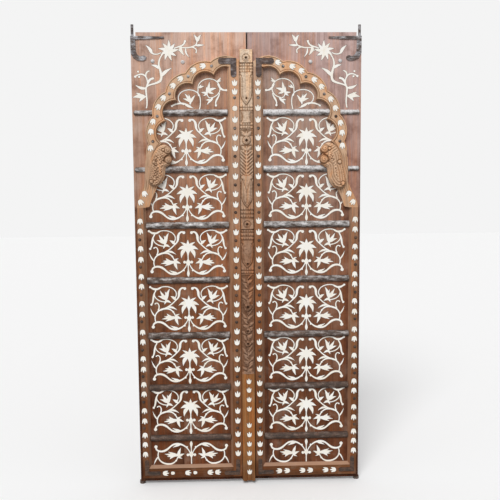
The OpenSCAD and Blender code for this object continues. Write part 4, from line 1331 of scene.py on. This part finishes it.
class DOOR_OT_brackets(bpy.types.Operator):
    """Carves the bird brackets under the arches"""

    bl_idname = "door.brackets"
    bl_label = "Bird brackets"

    def execute(self, context):
        for side in SIDES:
            self.carve(side, context.scene.door_sizes.carving_step)
        return {"FINISHED"}

    def carve(self, side, step):
        """One bird: a grid of points inside its outline, drawn to the outline along its rim."""
        arch = ARCHES[side]
        (ox, oz), size = arch.bird, arch.bird_scale
        outline = smooth_outline([(ox + size * x, oz + size * z) for x, z in BIRD], 4)
        xs = np.arange(ox - 48 * size, ox + 70 * size, step)
        zs = np.arange(oz - 194 * size, oz + 4 * size, step)
        x, z = np.meshgrid(xs, zs)
        d, px, pz = outline_distance(x, z, outline)
        keep = d > -step * 0.7
        edge = keep & (d < step * 0.7)
        x, z = np.where(edge, px, x), np.where(edge, pz, z)
        lined = 32 if side == "right" else 14
        out, painted_shade = self.heights((x - ox) / size, (z - oz) / size, np.maximum(d, 0) / size, lined)
        for i, j in np.argwhere(keep):
            out[i, j] += 0.9 * rough(x[i, j], z[i, j], 3.0, 7)
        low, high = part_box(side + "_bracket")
        near = low[0] * 1000 if side == "right" else -high[0] * 1000
        x = np.clip(x, near, near + (high[0] - low[0]) * 1000)
        z = np.clip(z, low[2] * 1000 - FOOT_Z, high[2] * 1000 - FOOT_Z)
        out = np.minimum(out, BRACKET_OUT - 0.2)
        index = -np.ones(x.shape, int)
        points, marks, faces = [], [], []
        for i, j in np.argwhere(keep):
            index[i, j] = len(points)
            points.append(place(side, x[i, j], out[i, j], z[i, j]))
            marks.append(float(painted_shade[i, j]))
        edges = set()
        for i in range(x.shape[0] - 1):
            for j in range(x.shape[1] - 1):
                corners = (index[i, j], index[i, j + 1], index[i + 1, j + 1], index[i + 1, j])
                if min(corners) < 0:
                    continue
                corners = tuple(int(c) for c in (corners if side == "right" else corners[::-1]))
                faces.append(corners)
                edges.update(zip(corners, corners[1:] + corners[:1]))
        rim = sorted((a, b) for a, b in edges if (b, a) not in edges)
        wall = {}
        for a, b in rim:
            for q in (a, b):
                if q not in wall:
                    wall[q] = len(points)
                    points.append((points[q][0], FACE_Y / 1000, points[q][2]))
                    # the walls round the bird get painted shade
                    marks.append(0.9)
            faces.append((b, a, wall[a], wall[b]))
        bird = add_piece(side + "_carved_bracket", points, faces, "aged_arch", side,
                         [side + "_bracket"], {"painted_shade": marks})
        sharpen(bird, 60)

    def heights(self, u, w, d, lined):
        """Height of the bird's face and the painted shade in its hollows; strands line it to a depth, with curls
        inside.
        """
        out = 22 + 10 * soft_step(d, 0, 12)
        # painted shade along the rim of the bird
        painted_shade = 0.55 * (1 - soft_step(d, 0, 4))
        # strands of plumage that follow the outline, with rows of small curls between them
        body = soft_step(d, 1.5, 5) * soft_step(w, -30, -50) * soft_step(u + 0.22 * w, -34, -24)
        strand = wave(d + 1.5 * np.sin(w * 0.09), 10.0)
        band = soft_step(d, lined + 2, lined - 2)
        turn = np.sin(w * 0.11 + 0.05 * u) + 0.6 * np.sin(w * 0.27 - 0.19 * u)
        curl_u, curl_w = (u + 3.5 * turn) * 2 * math.pi / 14.0, (w + 2.0 * turn) * 2 * math.pi / 15.0
        curl = np.clip(0.5 + 0.62 * np.cos(curl_u) * np.cos(curl_w) + 0.3 * np.cos(curl_u * 0.5 + curl_w), 0, 1)
        bead = wave(w + 0.2 * u, 9.0)
        edge = bump_ring(d, 6.5, 4.0) * (u > 10)
        out = out + body * (band * 4.5 * strand + (1 - band) * 7.0 * curl) + 2.0 * body * edge * bead
        painted_shade = np.maximum(painted_shade, body * band * np.clip(0.8 - 1.9 * strand, 0, 1))
        painted_shade = np.maximum(painted_shade, body * edge * np.clip(0.9 - 2.0 * bead, 0, 1))
        painted_shade = np.maximum(painted_shade, body * (1 - band) * np.clip(0.8 - 1.9 * curl, 0, 1))
        # combed crest over the head
        crest = soft_step(w, -46, -34) * soft_step(u, -14, -4) * soft_step(d, 1, 4)
        combed = wave(u * 0.55 - w * 0.85, 10.0)
        out = out + crest * 3.2 * combed
        painted_shade = np.maximum(painted_shade, crest * np.clip(0.8 - 1.8 * combed, 0, 1))
        # lower bill with its lines
        bill = soft_step(np.hypot((u + 24) / 16, (w + 93) / 10), 1.15, 0.8)
        lines = wave(w + 0.5 * u, 8.0)
        out = out + bill * 3.0 * lines
        painted_shade = np.maximum(painted_shade, bill * np.clip(0.7 - 1.5 * lines, 0, 1))
        # forehead and the knob of the beak, each with a curl cut into it
        for (cx, cz), r, rise in (((-26, -25), 17, 11.5), ((-29, -69), 16, 12.5)):
            dist = np.hypot(u - cx, w - cz)
            dome = rounded(dist, r)
            out = np.where(dome > 0, np.maximum(out, 31 + rise * np.sqrt(dome)), out)
            angle = np.arctan2(w - cz, u - cx)
            spiral = bump_ring((dist + angle * 1.5) % 9.4, 4.7, 2.0) * (dist < r - 2) * (dist > 2)
            out = out - 2.4 * spiral
            painted_shade = np.maximum(painted_shade * (dome <= 0.1), 0.75 * spiral)
            painted_shade = np.maximum(painted_shade, 0.95 * bump_ring(dist, r + 0.9, 2.6))
        # the open beak: a deep curved hollow between the knob and the neck
        slit = bump_ring(np.hypot(u + 32, w + 72), 23, 3.6)
        slit = slit * soft_step(w, -86, -76) * soft_step(u, -34, -26) * (w < -40)
        out = out - 8 * slit
        painted_shade = np.maximum(painted_shade, slit)
        # the eye and two bosses on the body
        for (cx, cz), r in (((-7, -25), 5.5), ((36, -80), 8.0), ((50, -168), 8.0)):
            dist = np.hypot(u - cx, w - cz)
            out = out + 4.5 * np.sqrt(rounded(dist, r)) - 3.0 * bump_ring(dist, r + 1.8, 2.0)
            painted_shade = np.maximum(painted_shade * (dist > r), bump_ring(dist, r + 1.8, 2.4))
        return out, np.clip(painted_shade, 0, 1)


# Heights of the buds on the splice, with the splice's face and how far they lie from the middle
SPLICE_BUDS, SPLICE_OUT, SPLICE_MIDDLE = (40, 84, 128, 172, 216, 260, 336, 380, 424, 464), 20.0, -2.0


class DOOR_OT_cover_strip(bpy.types.Operator):
    """Carves the cover strip over the meeting edges and dresses its splice"""

    bl_idname = "door.cover_strip"
    bl_label = "Cover strip"

    def execute(self, context):
        step = context.scene.door_sizes.carving_step
        x0, x1 = STRIP_LOW[0] * 1000, STRIP_HIGH[0] * 1000
        z0, z1 = STRIP_LOW[2] * 1000 - FOOT_Z, STRIP_HIGH[2] * 1000 - FOOT_Z
        proud = FACE_Y - STRIP_LOW[1] * 1000
        nx, nz = int((x1 - x0) / step), int((z1 - z0) / step)
        x, z = np.meshgrid(np.linspace(x0, x1, nx + 1), np.linspace(z0, z1, nz + 1))
        out, painted_shade = self.heights(x - (x0 + x1) / 2, z1 - z, (x1 - x0) / 2)
        for i in range(x.shape[0]):
            for j in range(x.shape[1]):
                worn = rough(x[i, j], z[i, j], 11.0, 7)
                out[i, j] += 1.2 * worn + 1.0 * rough(x[i, j], z[i, j], 2.0, 17)
                # painted shade in the worn dents
                painted_shade[i, j] = min(painted_shade[i, j] + max(-0.8 * worn - 0.1, 0.0), 1.0)
        out = np.minimum(out, proud)
        points, faces, marks = carved_slab("right", x, out, z, painted_shade, (0.0, 0.7), 0.7, True)
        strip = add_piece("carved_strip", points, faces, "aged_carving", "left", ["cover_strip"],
                          {"painted_shade": marks})
        sharpen(strip, 60)
        sizes = context.scene.door_sizes
        round_edges("strip_splice", "splice_wood", sizes.edge_wear)
        buds = Shell()
        for z in SPLICE_BUDS:
            bud = bud_drawing().placed((SPLICE_MIDDLE, z), 0.88 * BUD_SCALE)
            set_inlay(buds, "right", bud, SPLICE_OUT, sizes.inlay_out)
        add_inlay(buds, "splice_bone_buds", "left", "splice_buds")
        return {"FINISHED"}

    def heights(self, x, d, half):
        """Height of the carving and the painted shade in its hollows; x is from the middle and d down from the top of
        the strip.
        """
        side = np.abs(x) / half
        out = 19 + 5.0 * np.sqrt(np.clip(1 - side ** 2, 0, 1))
        # painted shade along both sides of the strip
        painted_shade = 0.55 * soft_step(side, 0.86, 1.0)
        raised, roll_radius = 30, 5.6

        def between(top, low):
            """1 inside a stretch of the strip, with soft ends."""
            return soft_step(d, top, top + 3) * soft_step(d, low, low - 3)

        def block(top, low):
            """A raised block across the strip."""
            nonlocal out, painted_shade
            mask = soft_step(d, top, top + 2) * soft_step(d, low, low - 2) * soft_step(side, 1.0, 0.94)
            out = out * (1 - mask) + raised * mask
            painted_shade = np.maximum(painted_shade, 0.8 * bump_ring(d, low, 2.2))
            painted_shade = np.maximum(painted_shade, 0.8 * bump_ring(d, top, 1.6))

        def roll(at):
            """A beaded roll across the strip."""
            nonlocal out, painted_shade
            ridge = bump_ring(d, at, roll_radius)
            beads = 0.6 + 0.4 * np.cos(x * 2 * math.pi / 10.5)
            out = np.where(ridge > 0, np.maximum(out, 19 + 8.5 * ridge * (0.65 + 0.35 * beads)), out)
            painted_shade = np.maximum(painted_shade, 0.9 * bump_ring(d, at + roll_radius + 0.8, 1.8))
            painted_shade = np.maximum(painted_shade, (ridge > 0.1) * np.clip(0.7 - beads, 0, 1) * 1.6)

        def rosette(at, r):
            """A round flower with a hole in its middle."""
            nonlocal out, painted_shade
            dist = np.hypot(x, d - at)
            petals = 0.6 + 0.4 * np.abs(np.cos(np.arctan2(d - at, x) * 4))
            out = np.where(dist < r, np.maximum(out - 2, 25 + 7.5 * np.sqrt(rounded(dist, r)) * petals), out)
            out = np.where(dist < r * 0.3, 20, out)
            painted_shade = np.maximum(painted_shade, np.where(dist < r * 0.34, 1.0, 0))
            painted_shade = np.maximum(painted_shade, bump_ring(dist, r + 0.8, 2.0) * 0.9)
            painted_shade = np.maximum(painted_shade, (dist < r) * (1 - petals) * 1.2)

        def tongue(top, low, lines=False):
            """A long shield that ends in a point, with a forked line if asked for."""
            nonlocal out, painted_shade
            r, run = half - 4, np.clip((d - top) / (low - top), 0, 1)
            wide = r * np.interp(run, (0, 0.07, 0.12, 0.2, 0.62, 0.78, 0.9, 1.0),
                                 (1, 1, 0.74, 0.95, 0.95, 0.84, 0.45, 0.02))
            edge = np.where((d < top) | (d > low + 3), 99.0, np.abs(x) - wide)
            body = soft_step(edge, 1.0, -3.0)
            out = out * (1 - body) + (raised - 2.5 * (np.abs(x) / half) ** 2) * body
            cut = bump_ring(edge, -7, 1.6) * (run > 0.18)
            if lines:
                fork = np.abs(np.abs(x) - np.clip((0.5 - run) * 42, 0, 18))
                cut = np.maximum(cut, bump_ring(fork, 0.0, 1.7) * (run > 0.08) * (run < 0.86))
            out -= 2.2 * cut
            painted_shade = np.maximum(painted_shade, 0.95 * bump_ring(edge, 1.8, 2.6) * (d > top))
            painted_shade = np.maximum(painted_shade, 0.65 * cut)

        def pleats(top, low):
            """Slanting folds on both sides of a rib."""
            nonlocal out, painted_shade
            zone = between(top, low)
            fold = wave(d + 0.95 * np.abs(x), 15.5)
            rib = bump_ring(np.abs(x), 0.0, 3.2)
            out = out * (1 - zone) + (20.5 + 7.0 * np.maximum(fold * soft_step(side, 1.0, 0.86), rib)) * zone
            painted_shade = np.maximum(painted_shade, zone * np.clip(0.85 - 1.7 * np.maximum(fold, rib), 0, 1))

        def baluster(top, low):
            """A waisted post."""
            nonlocal out, painted_shade
            run = np.clip((d - (top + low) / 2) / ((low - top) / 2), -1, 1)
            edge = np.where((d < top) | (d > low), 99.0, np.abs(x) - (half - 5) * (0.6 + 0.4 * run ** 2))
            body = soft_step(edge, 1.0, -5.0)
            out = out * (1 - body) + (24 + 4.5 * body + 1.5 * run ** 2) * body
            painted_shade = np.maximum(painted_shade, 0.95 * bump_ring(edge, 2.0, 3.0))
            painted_shade = np.maximum(painted_shade, 0.7 * soft_step(edge, 1, 4) * (edge < 90))

        def leaves(top, low):
            """Three leaves that rise from one place."""
            nonlocal out, painted_shade
            tall, zc = low - top, top + (low - top) * 0.5
            carved = np.zeros_like(x)
            for base, tip, wide, rise in (
                ((2, 0.5), (23, -0.3), 8.5, 7.5), ((-2, 0.5), (-23, -0.3), 8.5, 7.5), ((0, 0.62), (0, -0.3), 5.5, 8.5),
            ):
                ends = [(q[0], zc + tall * q[1]) for q in (base, tip)]
                carved = np.maximum(carved, leaf_ridge(x, d, *ends, wide, rise))
            zone = between(top, low)
            out = out * (1 - zone) + (20.5 + carved) * zone
            painted_shade = np.maximum(painted_shade, zone * np.clip(0.9 - carved / 4.0, 0, 1))

        def scrolls(top, low, count):
            """Worn foliage: leaves that branch to both sides, drawn a little askew by hand."""
            nonlocal out, painted_shade
            pitch = (low - top) / count
            u = x + 2.6 * np.sin(d / 13.0) + 1.4 * np.sin(d / 5.1 + x / 7.0)
            v = d + 3.0 * np.sin(x / 9.0 + d / 31.0)
            carved = np.zeros_like(x)
            for k in range(count):
                s = 1 if k % 2 == 0 else -1
                zc = top + pitch * (k + 0.5)
                for base, tip, wide in (
                    ((0, 0.6), (s * 24, 0.05), 7.0), ((-s * 2, 0.35), (-s * 25, -0.25), 6.5),
                    ((s * 2, 0.1), (s * 20, -0.5), 5.5), ((-s * 3, 0.75), (-s * 22, 0.3), 5.0),
                    ((0, 0.9), (s * 3, -0.1), 4.0),
                ):
                    ends = [(q[0], zc + pitch * q[1]) for q in (base, tip)]
                    carved = np.maximum(carved, leaf_ridge(u, v, *ends, wide, 8.0))
                eye = np.hypot(u - s * 13, v - zc + pitch * 0.28)
                carved = np.maximum(carved, 7.0 * np.sqrt(rounded(eye, 5.0)))
            worn = 0.72 + 0.28 * np.sin(d / 37.0) * np.sin(x / 11.0 + 1.0)
            carved = carved * worn
            zone = between(top, low)
            out = out * (1 - zone) + (20.0 + carved) * zone
            painted_shade = np.maximum(painted_shade, zone * np.clip(0.85 - carved / 4.4, 0, 1))

        gable = 6 * np.clip(np.minimum(np.abs(x - 14), np.abs(x + 13)) / 9, 0, 1)
        block(gable + 1, 58)
        rosette(36, 15)
        baluster(264, 312)
        leaves(340, 372)
        leaves(406, 432)
        pleats(432, 540)
        scrolls(978, 1422, 11)
        tongue(96, 236)
        tongue(542, 680, True)
        tongue(826, 948)
        for at in (66, 79, 91, 242, 255, 318, 332, 686, 703, 720, 784, 801, 818, 954, 968):
            roll(at)
        block(730, 776)
        for at, r in ((388, 18), (753, 15), (1124, 18), (1232, 13), (1290, 14)):
            rosette(at, r)
        # nail holes, with painted shade in them
        for at in (208, 930):
            dist = np.hypot(x - 1, d - at)
            out = np.where(dist < 4.5, 22, out)
            painted_shade = np.maximum(painted_shade, np.clip(1.3 - dist / 5.5, 0, 1))
        return out, np.clip(painted_shade, 0, 1)


# Light from all round, and the lamp: where it stands, its strength and how wide it looks
ROOM_LIGHT, LAMP_AT, LAMP_STRENGTH, LAMP_WIDTH = 0.48, Vector((-0.30, -1.25, 1.20)), 2.25, math.radians(30)
# The camera: where it stands, what it looks at, how it leans and its lens
EYE, AIM, LEAN, LENS = Vector((-0.100, -3.111, 1.395)), Vector((0.0078, -0.008, 1.0748)), math.radians(-0.44), 50.4


class DOOR_OT_stage(bpy.types.Operator):
    """Sets the pale floor, the soft light and the camera"""

    bl_idname = "door.stage"
    bl_label = "Stage"

    def execute(self, context):
        scene = context.scene
        scene.view_settings.view_transform = "Standard"
        colour = scene.door_colours.backdrop
        material, tree, shader = new_material("pale_floor")
        pale = mix_colour(tree, seen_directly(tree), tone(150, 150, 150), tone(249, 249, 249))
        feed(tree, shader.inputs["Base Color"], pale)
        shader.inputs["Roughness"].default_value = 0.9
        mesh = bpy.data.meshes.new("studio_floor")
        mesh.from_pydata([(-14, -9, 0), (14, -9, 0), (14, 14, 0), (-14, 14, 0)], [], [(0, 1, 2, 3)])
        mesh.materials.append(material)
        floor = bpy.data.objects.new("studio_floor", mesh)
        scene.collection.objects.link(floor)
        self.light(scene, colour)
        self.camera(scene)
        return {"FINISHED"}

    def light(self, scene, colour):
        """Even light from all round, and one soft lamp high in front; the floor throws little light back."""
        world = bpy.data.worlds.new("studio")
        scene.world = world
        world.use_nodes = True
        tree = world.node_tree
        plain = tree.nodes["Background"]
        plain.inputs["Color"].default_value = (1.0, 1.0, 1.0, 1.0)
        plain.inputs["Strength"].default_value = ROOM_LIGHT
        seen = add_node(tree, "ShaderNodeBackground", Strength=1.0)
        seen.inputs["Color"].default_value = colour
        mix = tree.nodes.new("ShaderNodeMixShader")
        for socket, value in zip(mix.inputs, (seen_directly(tree), plain.outputs[0], seen.outputs[0])):
            feed(tree, socket, value)
        feed(tree, tree.nodes["World Output"].inputs["Surface"], mix.outputs[0])
        lamp = bpy.data.lights.new("soft_sun", "SUN")
        lamp.angle = LAMP_WIDTH
        lamp.energy = LAMP_STRENGTH
        piece = bpy.data.objects.new("soft_sun", lamp)
        piece.location = LAMP_AT * 3
        piece.rotation_euler = (-LAMP_AT).to_track_quat("-Z", "Y").to_euler()
        scene.collection.objects.link(piece)

    def camera(self, scene):
        """The viewing angle: a little left of the middle, above half height, looking slightly down."""
        lens = bpy.data.cameras.new("front_view")
        lens.sensor_width = 36.0
        lens.lens = LENS
        piece = bpy.data.objects.new("front_view", lens)
        turn = (AIM - EYE).to_track_quat("-Z", "Y").to_matrix() @ Matrix.Rotation(LEAN, 3, "Z")
        piece.matrix_world = Matrix.Translation(EYE) @ turn.to_4x4()
        scene.collection.objects.link(piece)
        scene.camera = piece


class DOOR_PT_pieces(bpy.types.Panel):
    """Lists the pieces of the door in the sidebar"""

    bl_idname = "DOOR_PT_pieces"
    bl_label = "Carved door"
    bl_space_type = "VIEW_3D"
    bl_region_type = "UI"
    bl_category = "Door"

    def draw(self, context):
        for group in (context.scene.door_sizes, context.scene.door_colours):
            box = self.layout.box()
            for key in group.bl_rna.properties.keys():
                if key not in ("rna_type", "name"):
                    box.prop(group, key)
        for piece in PIECES:
            self.layout.operator(piece.bl_idname)


PIECES = (DOOR_OT_boards, DOOR_OT_inlay, DOOR_OT_bars, DOOR_OT_iron, DOOR_OT_arches, DOOR_OT_brackets,
          DOOR_OT_cover_strip, DOOR_OT_stage)
CLASSES = (DoorSizes, DoorColours) + PIECES + (DOOR_PT_pieces,)


def register():
    """Adds the classes, and the fields that they use, to the scene."""
    for item in CLASSES:
        bpy.utils.register_class(item)
    bpy.types.Scene.door_sizes = bpy.props.PointerProperty(type=DoorSizes)
    bpy.types.Scene.door_colours = bpy.props.PointerProperty(type=DoorColours)


def unregister():
    """Takes the fields and the classes away again."""
    del bpy.types.Scene.door_colours
    del bpy.types.Scene.door_sizes
    for item in reversed(CLASSES):
        bpy.utils.unregister_class(item)


def main():
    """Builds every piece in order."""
    register()
    bpy.ops.door.boards()
    bpy.ops.door.inlay()
    bpy.ops.door.bars()
    bpy.ops.door.iron()
    bpy.ops.door.arches()
    bpy.ops.door.brackets()
    bpy.ops.door.cover_strip()
    bpy.ops.door.stage()


if __name__ == "__main__":
    main()
